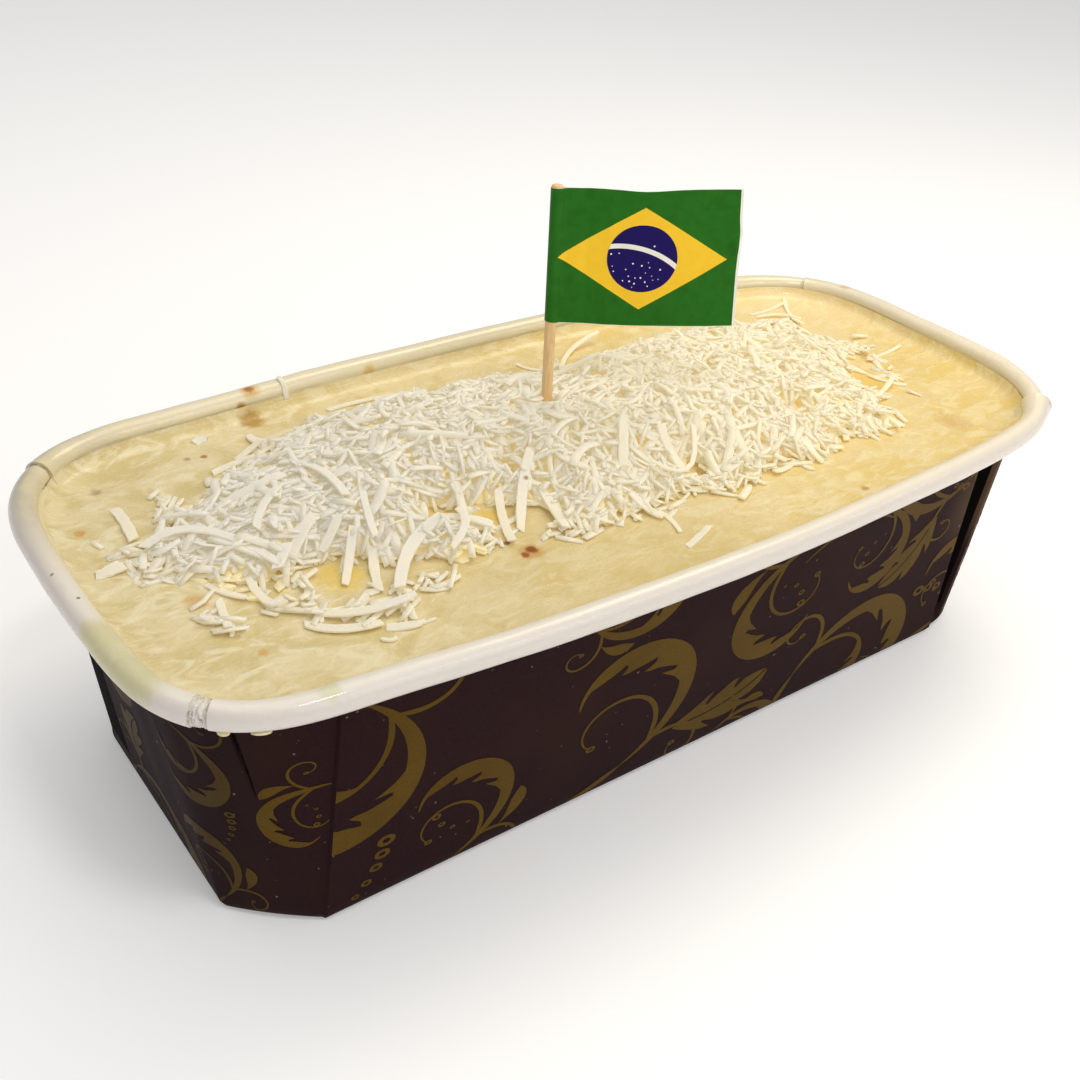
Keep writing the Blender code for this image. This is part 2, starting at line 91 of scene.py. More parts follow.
def outline(places, *form):
    """Points of an outline at places round it: its corners, with straight sides between them."""
    points = np.zeros((len(places), 2))
    for number in range(8):
        here = np.floor(places).astype(int) == number
        part = places[here] - number
        if number % 2:
            start = corner_curve(number // 2, 1.0, *form)
            end = corner_curve((number // 2 + 1) % 4, 0.0, *form)
            points[here] = start + (end - start) * part[:, None]
        else:
            points[here] = corner_curve(number // 2, part, *form)
    return points


def unit(vectors):
    """Vectors at length 1."""
    return vectors / np.linalg.norm(vectors, axis=-1, keepdims=True)


def swell(points):
    """The bow of the rim's sides: for each side, its depth by 1 - x squared and by y squared."""
    x, y = points[:, 0] / RIM_HALF[0], points[:, 1] / RIM_HALF[1]
    across = np.where(y < 0, -RIM_SWELL[0], RIM_SWELL[2]) * (1 - x * x) * y * y
    along = np.where(x < 0, -RIM_SWELL[3], RIM_SWELL[1]) * (1 - y * y) * x * x
    return np.stack([along, across], 1)


def corner_dip(points):
    """How far the rim hangs at its corners: the dip by the cube of x times y."""
    x, y = points[:, 0] / RIM_HALF[0], points[:, 1] / RIM_HALF[1]
    front, back = np.where(x < 0, *RIM_CORNER_DIP[:2]), np.where(x < 0, *RIM_CORNER_DIP[:1:-1])
    return -np.where(y < 0, front, back) * np.abs(x * y) ** 3


class PanForm:
    """The outlines of base and rim at every column round the pan, and what follows from them."""

    def __init__(self):
        corner = np.linspace(0.0, 1.0, 97)[:-1]
        long = np.concatenate([[0.0, 0.0015, 0.003], np.linspace(0.01, 0.99, 180), [0.997, 0.9985]])
        short = np.concatenate([[0.0, 0.006, 0.012], np.linspace(0.04, 0.98, 48)])
        fractions = (corner, long, corner, short, corner, long, corner, short)
        self.places = np.concatenate([number + part for number, part in enumerate(fractions)])
        rim = outline(self.places, RIM_HALF, RIM_CORNERS, RIM_POWER, RIM_ROUND)
        self.roll_height = RIM_HEIGHT - ROLL_RADIUS + corner_dip(rim)
        rim = rim + swell(rim)
        ahead = np.roll(rim, -1, 0) - np.roll(rim, 1, 0)
        self.outward = unit(np.stack([ahead[:, 1], -ahead[:, 0]], 1))
        edge = rim + self.outward * ROLL_RADIUS
        centre = (edge.min(0) + edge.max(0)) / 2
        self.rim = rim - centre
        self.base = outline(self.places, BASE_HALF, BASE_CORNERS, 2.0, BASE_ROUND) - centre
        self.wall_top = self.rim - self.outward * WALL_INSET
        middle = (self.base + self.wall_top) / 2
        steps = np.linalg.norm(np.roll(middle, -1, 0) - middle, axis=1)
        self.girth = np.concatenate([[0.0], np.cumsum(steps)])

    def at(self, places, values):
        """Values of the columns at any places, by straight lines between the columns."""
        around = np.append(self.places, 8.0)
        columns = np.reshape(values, (len(self.places), -1))
        closed = np.concatenate([columns, columns[:1]])
        found = [np.interp(np.mod(places, 8.0), around, column) for column in closed.T]
        return np.stack(found, -1) if len(found) > 1 else found[0]

    def rim_at(self, places):
        """The rim's middle line, the level way out from it, and the roll's height there."""
        outward = unit(self.at(places, self.outward))
        return self.at(places, self.rim), outward, self.at(places, self.roll_height)

    def place_of(self, distance):
        """The place at a distance round the pan, measured at half height."""
        return np.interp(np.mod(distance, self.girth[-1]), self.girth, np.append(self.places, 8.0))

    def distance_of(self, place):
        """The distance round the pan of a place."""
        return float(np.interp(place, np.append(self.places, 8.0), self.girth))

    def folds(self, places, height):
        """How far the outside stands out: a step at the flaps, less a step at the pleats.

        The dart is a bell-shaped groove about its slanting line, and two slow sines wave the rest.
        """
        flap = FLAP_STEP * np.interp(places, *FLAP_ENDS)
        pleat = PLEAT_DEPTH * np.interp(places, *PLEATS)
        pleat = pleat * np.interp(height, PLEAT_HEIGHTS, (0, 1, 1, 0))
        (low_place, low), (high_place, high) = DART
        share = (height - low) / (high - low)
        off_line = places - (low_place + (high_place - low_place) * share)
        dart = DART_DEPTH * np.exp(-(off_line / DART_WIDTH) ** 2) * np.clip(share * 2.0, 0.0, 1.0)
        slow = np.sin(places * 9.0 + 0.4) * np.sin(height / 17.0 + 0.6) + np.sin(places * 23.0) * 0.5
        return flap - pleat - dart + 0.12 * slow * np.clip(height / 20.0, 0.0, 1.0)

    def wall(self, places, height, proud=0.0):
        """The outside of the wall: the straight line from base to rim, moved outwards."""
        top = self.at(places, self.roll_height) - ROLL_RADIUS
        height = np.minimum(height, top)
        share = (height / top)[..., None]
        base, rim = self.at(places, self.base), self.at(places, self.wall_top)
        out = (self.folds(np.mod(places, 8.0), height) + proud)[..., None]
        flat = base + (rim - base) * share + self.at(places, self.outward) * out
        return np.concatenate([flat, height[..., None]], -1)


def grid_faces(rows, columns, around):
    """Four-cornered faces of a grid of points, row by row; around joins each row's end to its start."""
    row, column = np.meshgrid(np.arange(rows - 1), np.arange(columns - (not around)), indexing="ij")
    after = (column + 1) % columns
    faces = np.stack([row * columns + column, row * columns + after,
                      (row + 1) * columns + after, (row + 1) * columns + column], -1)
    return faces.reshape(-1, 4)


def join(parts):
    """Several (points, faces) as one."""
    starts = np.cumsum([0] + [len(points) for points, _ in parts])
    faces = [(np.asarray(part) + start).tolist() for start, (_, part) in zip(starts, parts)]
    return np.concatenate([points for points, _ in parts]), sum(faces, [])


def closed_shell(rows, low_middle, high_middle):
    """Rings of points one above the other, with a fan of triangles to a middle at each end."""
    count, last = rows.shape[1], (len(rows) - 1) * rows.shape[1]
    faces = grid_faces(len(rows), count, True).tolist()
    faces += [((k + 1) % count, k, last + count) for k in range(count)]
    faces += [(last + k, last + (k + 1) % count, last + count + 1) for k in range(count)]
    return np.concatenate([rows.reshape(-1, 3), [low_middle, high_middle]]), faces


def placed(name, data):
    """A new object in the scene."""
    made = bpy.data.objects.new(name, data)
    bpy.context.scene.collection.objects.link(made)
    return made


def piece(name, points, faces, *materials, crease=40.0):
    """An object that rides on the loaf, from points in millimetres and faces that point outwards."""
    mesh = bpy.data.meshes.new(name)
    faces = faces.tolist() if isinstance(faces, np.ndarray) else faces
    mesh.from_pydata(np.reshape(points, (-1, 3)) * MM, [], faces)
    mesh.polygons.foreach_set("use_smooth", np.ones(len(mesh.polygons), bool))
    mesh.set_sharp_from_angle(angle=math.radians(crease))
    for material in materials:
        mesh.materials.append(material)
    made = placed(name, mesh)
    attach(made, "root")
    return made


def linear(red, green, blue):
    """A colour given as it is seen, from 0 to 255, in the linear values that shaders take."""
    seen = np.array([red, green, blue]) / 255
    return np.where(seen <= 0.04045, seen / 12.92, ((seen + 0.055) / 1.055) ** 2.4).tolist()


class Wire:
    """A node's output in a finish. Arithmetic on it adds Math nodes."""

    def __init__(self, finish, socket):
        self.finish, self.socket = finish, socket

    def maths(self, operation, *values):
        return self.finish.node("Math", {"operation": operation}, dict(enumerate(values)))

    def __add__(self, other):
        return self.maths("ADD", self, other)

    def __radd__(self, other):
        return self.maths("ADD", other, self)

    def __sub__(self, other):
        return self.maths("SUBTRACT", self, other)

    def __rsub__(self, other):
        return self.maths("SUBTRACT", other, self)

    def __mul__(self, other):
        return self.maths("MULTIPLY", self, other)

    def __rmul__(self, other):
        return self.maths("MULTIPLY", other, self)

    def step(self, low, high):
        """0 below low, 1 above high and a smooth rise between; high may be the lower one."""
        if low > high:
            return 1 - self.step(high, low)
        settings = {"interpolation_type": "SMOOTHSTEP"}
        return self.finish.node("MapRange", settings, {0: self, 1: low, 2: high})


class Finish:
    """A Principled material. Its named values are constants; feed() links what varies."""

    def __init__(self, name, **constants):
        self.material = bpy.data.materials.new(name)
        self.material.use_nodes = True
        self.tree = self.material.node_tree
        self.shader = self.tree.nodes["Principled BSDF"]
        for socket, value in constants.items():
            self.shader.inputs[socket.replace("_", " ")].default_value = value
        here = self.node("TexCoord", output="Object")
        self.place = self.node("VectorMath", {"operation": "SCALE"}, {0: here, "Scale": 1 / MM})

    def node(self, kind, settings=None, sockets=None, output=0):
        """Any node: its settings first, then the values or links of its sockets."""
        made = self.tree.nodes.new("ShaderNode" + kind)
        for name, value in (settings or {}).items():
            setattr(made, name, value)
        for name, value in (sockets or {}).items():
            if isinstance(value, Wire):
                self.tree.links.new(value.socket, made.inputs[name])
            else:
                made.inputs[name].default_value = value
        return Wire(self, made.outputs[output])

    def noise(self, scale, detail=2.0, roughness=0.5, distortion=0.0, place=None):
        """Noise from 0 to 1 whose blotches are about 1 / scale millimetres across."""
        sockets = {"Vector": place or self.place, "Scale": scale, "Detail": detail,
                   "Roughness": roughness, "Distortion": distortion}
        return self.node("TexNoise", {}, sockets)

    def stretched(self, x, y, z):
        """The place, made longer or shorter along each axis."""
        return self.node("VectorMath", {"operation": "MULTIPLY"}, {0: self.place, 1: (x, y, z)})

    def axis(self, name):
        """X, Y or Z in millimetres."""
        return self.node("SeparateXYZ", {}, {0: self.place}, output=name)

    def mix(self, share, first, second):
        """A colour between two, the first where share is 0; a plain one is given as it is seen."""
        ends = [(*linear(*end), 1.0) if isinstance(end, tuple) else end for end in (first, second)]
        return self.node("Mix", {"data_type": "RGBA"}, {0: share, 6: ends[0], 7: ends[1]}, output=2)

    def near(self, centre, radius, ragged=0.0, scale=0.5):
        """1 at a point and 0 beyond radius millimetres, with a ragged edge."""
        away = self.node("VectorMath", {"operation": "DISTANCE"}, {0: self.place, 1: centre}, "Value")
        if ragged:
            away = away + (self.noise(scale) - 0.5) * ragged
        return away.step(radius, radius * 0.35)

    def bump(self, height, depth, strength=1.0):
        """A Bump node for a height in units of depth millimetres."""
        return self.node("Bump", {}, {"Strength": strength, "Distance": depth * MM, "Height": height})

    def feed(self, socket, wire):
        """Links a varying value to one of the shader's sockets."""
        self.tree.links.new(wire.socket, self.shader.inputs[socket])


def brown_paper():
    """Uncoated dark brown paper: fibres, faint blotches, a few pale specks of dust, painted shade and
    light.
    """
    paper = Finish("brown_paper", Roughness=0.6, Specular_IOR_Level=0.03)
    fibre = paper.noise(2.4, 4.0, 0.7)
    blotch = paper.noise(0.05, 2.0)
    colour = paper.mix(fibre.step(0.3, 0.75), (36, 18, 21), (45, 25, 27))
    colour = paper.mix(blotch.step(0.4, 0.7) * 0.5, colour, (46, 29, 22))
    # Painted shade: the left end wall is darker, as it lies out of the light.
    left_end_shade = paper.axis("X").step(-85.0, -92.0)
    colour = paper.mix(left_end_shade * 0.7, colour, (35, 20, 23))
    # Painted reflected light: a lighter patch on the curved paper at the front right corner.
    colour = paper.mix(paper.near((82.6, -36.4, 42.0), 22.0) * 0.6, colour, (98, 76, 54))
    dust = paper.noise(0.9, 1.0).step(0.765, 0.80)
    colour = paper.mix(dust * 0.45, colour, (150, 140, 130))
    paper.feed("Base Color", colour)
    paper.feed("Normal", paper.bump(fibre, 0.05, 0.7))
    return paper.material


def pleat_shadow():
    """The same paper deep inside a pleat, painted nearly black for the deep shade there."""
    paper = Finish("pleat_shade_paper", Roughness=0.95, Specular_IOR_Level=0.05)
    fibre = paper.noise(2.4, 3.0)
    paper.feed("Base Color", paper.mix(fibre, (6, 5, 5), (13, 10, 9)))
    return paper.material


pan = PanForm()
in_shadow = pleat_shadow()
wall_rows = [(0.0, -BASE_EDGE), (0.5, -0.35 * BASE_EDGE), (BASE_EDGE, 0.0)]
wall_rows += [(height, 0.0) for height in (*np.linspace(4.0, 53.0, 42), 60.0)]
wall_rows += [(height, -PAPER) for height in (60.0, *PLEAT_HEIGHTS[::-1])]
wall_rows.append((PAPER, -PAPER - BASE_EDGE))
walls = np.stack([pan.wall(pan.places, height, proud) for height, proud in wall_rows])
walls_shell = closed_shell(walls, (0, 0, 0), (0, 0, PAPER))
walls_object = piece("pan_walls", *walls_shell, brown_paper(), in_shadow)
# Faces inside the pleats, and on a strip of the left wall beside one, take the painted shade.
row, place = np.meshgrid(np.arange(len(walls) - 1), pan.places + 0.005, indexing="ij")
shaded_faces = sum((place > start) & (place < end) for start, end in PLEAT_SHADE_SPANS)
shaded_faces *= (row > PLEAT_SHADE_ROWS[0]) & (row < PLEAT_SHADE_ROWS[1])
materials = np.zeros(len(walls_object.data.polygons), int)
materials[: shaded_faces.size] = shaded_faces.ravel()
walls_object.data.polygons.foreach_set("material_index", materials)
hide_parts("paper_pan")

# A thin near-black strip along the dart: painted shade in its groove.
(low_place, low), (high_place, high) = DART
rise = np.linspace(0.0, 1.0, 40)
dart_places = low_place + (high_place - low_place) * rise + DART_GAPE * np.sqrt(rise) * [[-1], [1]]
dart_heights = np.broadcast_to(low + (high + 2.0 - low) * rise, dart_places.shape)
dart_faces = grid_faces(*dart_places.shape, False)[:, ::-1]
dart_object = piece("dart_shadow", pan.wall(dart_places, dart_heights, 0.1), dart_faces, in_shadow)


# The print on the walls: one dull gold ink, in traditional acanthus scrolls, curls and rows of rings.
# Each panel of the folded sheet has its own stretch of it, cut off where the panel ends.
PRINT_PROUD = 0.05
PRINT_LAYER, PRINT_LAYERS = 0.004, 9
PRINT_LOW, PRINT_HIGH = 2.0, 53.0
RING_HOLE, RING_FLAT = 0.42, 0.8
LOBE = np.array([(0.0, 0.5), (0.12, 0.62), (0.35, 0.8), (0.65, 0.95), (0.95, 1.12), (1.22, 1.16),
                 (1.04, 0.92), (0.93, 0.72), (0.98, 0.52)])


def vine(start, heading, length, bend, tighten):
    """A path whose heading turns by bend, ever faster: x, y and heading at each point."""
    u = np.linspace(0.0, 1.0, 64)
    turn = heading + bend * (np.exp(tighten * u) - 1) / (math.exp(tighten) - 1)
    step = length / 63
    x = start[0] + np.concatenate([[0], np.cumsum(np.cos(turn[:-1]))]) * step
    y = start[1] + np.concatenate([[0], np.cumsum(np.sin(turn[:-1]))]) * step
    return np.stack([x, y, turn], 1)


def walk(path, shares):
    """Points of a path at shares of its length."""
    at = np.asarray(shares) * (len(path) - 1)
    return np.stack([np.interp(at, np.arange(len(path)), column) for column in path.T], 1)


def part_of(path, start, end):
    """The part of a path between two shares of its length."""
    return walk(path, np.linspace(start, end, 48))


def sideways(path):
    """The direction to the left of each point of a path."""
    return np.stack([-np.sin(path[:, 2]), np.cos(path[:, 2])], 1)


def ribbon(path, width):
    """The two edges of a ribbon along a path."""
    side = sideways(path) * width[:, None] / 2
    return np.stack([path[:, :2] - side, path[:, :2] + side])


def stem(path, wide, narrow, fullest=0.15):
    """A ribbon that widens by a quarter sine to its fullest point, then thins out by a power."""
    u = np.linspace(0.0, 1.0, len(path))
    rise, fall = np.clip(u / fullest, 0.0, 1.0), np.clip((1 - u) / (1 - fullest), 0.0, 1.0)
    return ribbon(path, narrow + (wide - narrow) * np.sin(rise * np.pi / 2) * fall ** 0.75)


def drop(path, wide):
    """A bud: a ribbon whose width is half a sine, at its fullest past the middle."""
    u = np.linspace(0, 1, len(path))
    return ribbon(path, wide * np.sin(np.pi * u ** 1.6).clip(0.0, 1.0) ** 0.9)


def half_leaf(path, reach, lobes, side, gap):
    """Half an acanthus leaf: from a path out to a row of hooked lobes, tallest near its middle."""
    lobe = np.repeat(np.arange(lobes), len(LOBE))
    u = np.clip((np.tile(LOBE[:, 0], lobes) + lobe) / lobes, 0.0, 1.0)
    rim, foot = walk(path, u), walk(path, (np.tile(np.linspace(0, 1, len(LOBE)), lobes) + lobe) / lobes)
    body = np.sin(np.pi * (0.05 + 0.95 * u) ** 1.1).clip(0.0, 1.0) ** 0.7
    out = reach * body * np.tile(LOBE[:, 1], lobes) + gap
    edge = rim[:, :2] + sideways(rim) * side * out[:, None]
    spine = foot[:, :2] + sideways(foot) * side * gap
    return spine + (edge - spine) * np.linspace(0.0, 1.0, 4)[:, None, None]


def rings(path, sizes):
    """Rings of ink along a path: flattened circles of the sizes, each with a round hole."""
    picks = np.linspace(0, len(path) - 1, len(sizes)).astype(int)
    turn = np.linspace(0, 2 * np.pi, 25)
    circle = np.stack([np.cos(turn), RING_FLAT * np.sin(turn)], 1)
    return [path[k, :2] + np.stack([circle * size * RING_HOLE, circle * size])
            for k, size in zip(picks, sizes)]


def side_shoot(path, at, swing):
    """Start and heading of a vine that leaves a path."""
    x, y, turn = walk(path, [at])[0]
    return (x, y), turn + swing


def spray(x, y, heading, size, hand, kind):
    """One scroll: a broad comma with a hooked inner edge, a slim twin, a curl and a tail.

    Kind 0 adds a hooked twin and a row of rings, kind 1 a whole leaf, kind 2 a bud and small rings.
    """
    start, thin = math.radians(heading), 0.008 * size
    main = vine((x, y), start, 1.75 * size, hand * 4.3, 1.0)
    twin = vine(*side_shoot(main, 0.1, hand * 0.45), 1.1 * size, hand * 4.6, 1.3)
    curl = vine(*side_shoot(main, 0.12, -hand * 0.5), 0.8 * size, -hand * 6.2, 2.0)
    tail = vine((x, y), start + math.pi, 0.9 * size, -hand * 0.9, 0.5)
    made = [
        stem(main, 0.11 * size, thin, 0.5),
        half_leaf(part_of(main, 0.34, 0.93), 0.15 * size, 4, hand, 0.0),
        stem(twin, 0.035 * size, thin),
        stem(curl, 0.032 * size, thin),
        stem(tail, 0.045 * size, thin),
        *rings(curl[-1:], [0.025 * size]),
    ]
    if kind == 0:
        made.append(half_leaf(part_of(twin, 0.45, 0.95), 0.1 * size, 3, hand, 0.0))
        row = vine(*side_shoot(main, 0.55, -hand * 0.9), 0.7 * size, hand * 1.1, 1.0)
        return made + rings(part_of(row, 0.3, 1.0), np.linspace(0.05, 0.016, 6) * size)
    if kind == 1:
        blade = part_of(vine(*side_shoot(curl, 0.12, -hand * 0.3), 0.75 * size, hand, 1.0), 0.1, 1.0)
        for reach, side in ((0.15, 1), (0.13, -1)):
            made.append(half_leaf(blade, reach * size, 3, side, 0.006 * size))
    else:
        bud = vine(*side_shoot(curl, 0.2, hand * 0.9), 0.4 * size, hand * 1.2, 1.0)
        made.append(drop(bud, 0.12 * size))
        row = vine(*side_shoot(twin, 0.7, hand * 1.2), 0.4 * size, hand * 1.6, 1.0)
        made += rings(part_of(row, 0.1, 1.0), np.linspace(0.036, 0.014, 4) * size)
    return made + rings(twin[-1:], [0.03 * size])


def turned_over(faces, outwards):
    """Faces, with those turned over whose share outwards is negative."""
    faces[outwards < 0] = faces[outwards < 0][:, ::-1]
    return faces


def printed(panel_start, panel_end, sprays):
    """The sprays of one panel, laid on the wall and cut off at the panel's ends and edges."""
    first = pan.distance_of(panel_start)
    length = pan.distance_of(panel_end) + (pan.girth[-1] if panel_end < panel_start else 0.0) - first
    patches = []
    for grid in [grid for row in sprays for grid in spray(*row)]:
        along, height = grid.reshape(-1, 2).T
        outside = np.stack([along < 0, along > length, height < PRINT_LOW, height > PRINT_HIGH])
        faces = grid_faces(*grid.shape[:2], False)
        faces = faces[~outside[:, faces].all(2).any(0)]
        along, height = np.clip(along, 0, length), np.clip(height, PRINT_LOW, PRINT_HIGH)
        proud = PRINT_PROUD + PRINT_LAYER * (len(patches) % PRINT_LAYERS)
        flat = np.stack([along, height], 1)[faces]
        a, b = flat[:, 2] - flat[:, 0], flat[:, 3] - flat[:, 1]
        faces = turned_over(faces, a[:, 0] * b[:, 1] - a[:, 1] * b[:, 0])
        patches.append((pan.wall(pan.place_of(first + along), height, proud), faces))
    return join(patches)


def gold_ink():
    """Dull gold ink on brown paper: a little shine, the paper's grain showing through, painted shade at
    the left.
    """
    ink = Finish("gold_ink", Roughness=0.5, Specular_IOR_Level=0.04)
    grain = ink.noise(2.4, 4.0, 0.7)
    colour = ink.mix(grain.step(0.3, 0.7), (83, 62, 12), (95, 72, 20))
    colour = ink.mix(ink.noise(0.06, 2.0).step(0.35, 0.7) * 0.6, colour, (79, 57, 12))
    # Painted shade: the ink on the left end wall is darker, as it lies out of the light.
    left_end_shade = ink.axis("X").step(-85.0, -92.0)
    colour = ink.mix(left_end_shade * 0.7, colour, (58, 43, 18))
    ink.feed("Base Color", colour)
    ink.feed("Normal", ink.bump(grain, 0.05, 0.7))
    return ink.material


FRONT_SPRAYS = (
    (3, 50, -30, 34, -1, 0), (60, 6, 30, 36, 1, 1), (24, 2, 25, 26, 1, 2), (96, 50, -165, 30, 1, 2),
    (104, 9, 62, 36, -1, 0), (146, 47, -150, 30, -1, 1), (150, 4, 25, 27, 1, 2),
    (172, 46, -130, 25, -1, 0), (116, 50, -10, 24, -1, 2), (84, 2, 40, 20, -1, 2),
    (44, 52, -60, 22, 1, 2),
)
LEFT_SPRAYS = (
    (2, 6, 50, 26, -1, 1), (12, 52, -40, 22, -1, 2), (34, 45, -20, 18, -1, 0),
    (57, 34, 168, 16, 1, 2), (34, 4, 35, 18, 1, 2),
)
BACK_SPRAYS = (
    (6, 8, 60, 34, -1, 1), (44, 48, -150, 28, 1, 2), (50, 6, 20, 32, 1, 0), (92, 50, -30, 30, -1, 2),
    (84, 4, 70, 30, -1, 0), (134, 46, -140, 32, -1, 1), (130, 6, 30, 28, 1, 2),
    (168, 40, -100, 26, -1, 0),
)
RIGHT_SPRAYS = (
    (4, 44, -40, 30, -1, 0), (36, 6, 30, 30, 1, 1), (50, 50, -160, 26, 1, 2), (64, 8, 50, 30, -1, 0),
    (98, 46, -130, 28, 1, 2), (96, 6, 100, 24, -1, 1),
)
ink = gold_ink()
for name, start, end, sprays in (
    ("gold_print_front", 1.003, 1.996, FRONT_SPRAYS),
    ("gold_print_right", 2.18, 4.995, RIGHT_SPRAYS),
    ("gold_print_back", 5.004, 5.996, BACK_SPRAYS),
    ("gold_print_left", 7.23, 0.998, LEFT_SPRAYS),
):
    print_object = piece(name, *printed(start, end, sprays), ink)


# The rim: the wall's white glazed face, rolled outwards and down on itself, in four lengths that meet
# at the middles of the corners. Where they meet the paper is crumpled, and some of the rolls gape.
ROLL_PAPER = 0.42
ROLL_COLUMNS = 130
FLARE_LENGTH = 3.0
SEAM_RADIUS = 2.2
SEAMS = (("front_left", 0.485, 0.06), ("front_right", 2.392, 0.03),
         ("back_right", 4.49, 0.03), ("back_left", 6.51, 0.03))
FILM_TOP = 57.6
ROLL_ENDS = (
    # start place, end place, widening at the start, widening at the end
    (0.53, 2.405, 0.0, 0.9),
    (2.38, 4.48, -0.4, 0.15),
    (4.47, 6.50, -0.3, 0.25),
    (6.515, 8.44, -0.15, 0.1),
)


def lattice(x, y, cell, seed):
    """Smooth noise from -1 to 1: random heights on a grid of cells, joined by smooth steps."""
    heights = np.random.default_rng(seed).uniform(-1, 1, (257, 257))
    u, v = np.asarray(x) / cell + 100.0, np.asarray(y) / cell + 100.0
    i, j = np.floor(u).astype(int), np.floor(v).astype(int)
    s, t = u - i, v - j
    s, t = s * s * (3 - 2 * s), t * t * (3 - 2 * t)
    i, j = i % 256, j % 256
    low = heights[i, j] * (1 - s) + heights[i + 1, j] * s
    high = heights[i, j + 1] * (1 - s) + heights[i + 1, j + 1] * s
    return low * (1 - t) + high * t


def roll_section():
    """The rolled paper's middle line across the rim: up the wall and over, in one and a third turns.

    The coil's radius is even at first, then shrinks in step with the turn.
    """
    radius = ROLL_RADIUS - ROLL_PAPER / 2
    turn = np.radians(np.linspace(185.0, -300.0, 62))
    wound = np.clip((math.radians(-90) - turn) / math.radians(210), 0.0, 1.0)
    reach = radius - wound * 1.1
    coil = np.stack([reach * np.cos(turn), reach * np.sin(turn)], 1)
    rise = np.array([(-3.55, -3.4), (-3.4, -2.8), (-3.2, -2.2), (-2.85, -1.5), (-2.45, -0.8)])
    return np.concatenate([rise, coil])


def carried(line, outward, height, out, up):
    """A section's points, out and up from the rim's middle line at each place along it."""
    flat = line[:, None] + outward[:, None] * out[..., None]
    return np.concatenate([flat, (height[:, None] + up)[..., None]], -1)


def sheet_faces(rows, columns):
    """Faces of a thin sheet whose rows run along its outside and back inside, closed at both ends."""
    low = np.arange(columns // 2 - 1)
    end = np.stack([low, low + 1, columns - 2 - low, columns - 1 - low], 1)
    return np.concatenate([grid_faces(rows, columns, True), end[:, ::-1], end + (rows - 1) * columns])


def rolled_paper(start, end, widen_start, widen_end):
    """A length of roll: its section with a thickness, carried along the rim.

    It widens towards its ends by an exponential, and noise makes it wobble, dent and sag a little.
    """
    line, outward, height = pan.rim_at(np.linspace(start, end, int(abs(end - start) * ROLL_COLUMNS)))
    travel = np.concatenate([[0.0], np.cumsum(np.linalg.norm(np.diff(line, axis=0), axis=1))])
    to_end = travel[-1] - travel
    flare = widen_start * np.exp(-travel / FLARE_LENGTH) + widen_end * np.exp(-to_end / FLARE_LENGTH)
    middle = roll_section()
    ahead = np.gradient(middle, axis=0)
    normal = unit(np.stack([-ahead[:, 1], ahead[:, 0]], 1)) * ROLL_PAPER / 2
    out, up = np.concatenate([middle + normal, (middle - normal)[::-1]]).T
    is_roll = np.clip((up + 4.0) / 3.0, 0.0, 1.0)
    wobble = 0.05 * lattice(travel, travel * 0 + start, 9.0, 3)[:, None]
    dents = 0.05 * lattice(travel[:, None], np.arctan2(up, out) * 4.0, 5.0, 8)
    size = 1 + (flare[:, None] + wobble + dents) * is_roll / ROLL_RADIUS
    sag = 0.18 * lattice(travel, travel * 0, 26.0, 5)
    points = carried(line, outward, height + sag, out * size, up * np.where(up > -2.6, size, 1.0))
    return points, sheet_faces(len(line), len(out))[:, ::-1]


def crumple(seam, reach):
    """The crumpled paper inside a seam: a short tube whose radius drops by a noise's size."""
    line, outward, height = pan.rim_at(np.linspace(seam - reach, seam + reach, 46))
    turn = np.linspace(0, 2 * np.pi, 56, endpoint=False)
    travel = np.linspace(-1.0, 1.0, len(line))[:, None] * 5.0
    creases = np.abs(lattice(travel + np.cos(turn), np.sin(turn) * 5.0 + np.cos(turn) * 2.0, 1.3, 21))
    size = SEAM_RADIUS - 0.6 * creases
    points = carried(line, outward, height, size * np.cos(turn), size * np.sin(turn))
    faces = grid_faces(len(line), len(turn), True)[:, ::-1].tolist()
    last = (len(line) - 1) * len(turn)
    return points, faces + [tuple(range(len(turn))), tuple(range(last, last + len(turn)))[::-1]]


def on_rim(place, out, up):
    """A point on the rim: out and up from the middle of the roll there."""
    line, outward, height = pan.rim_at(np.array([place]))
    return (*(line[0] + outward[0] * out).tolist(), float(height[0]) + up)


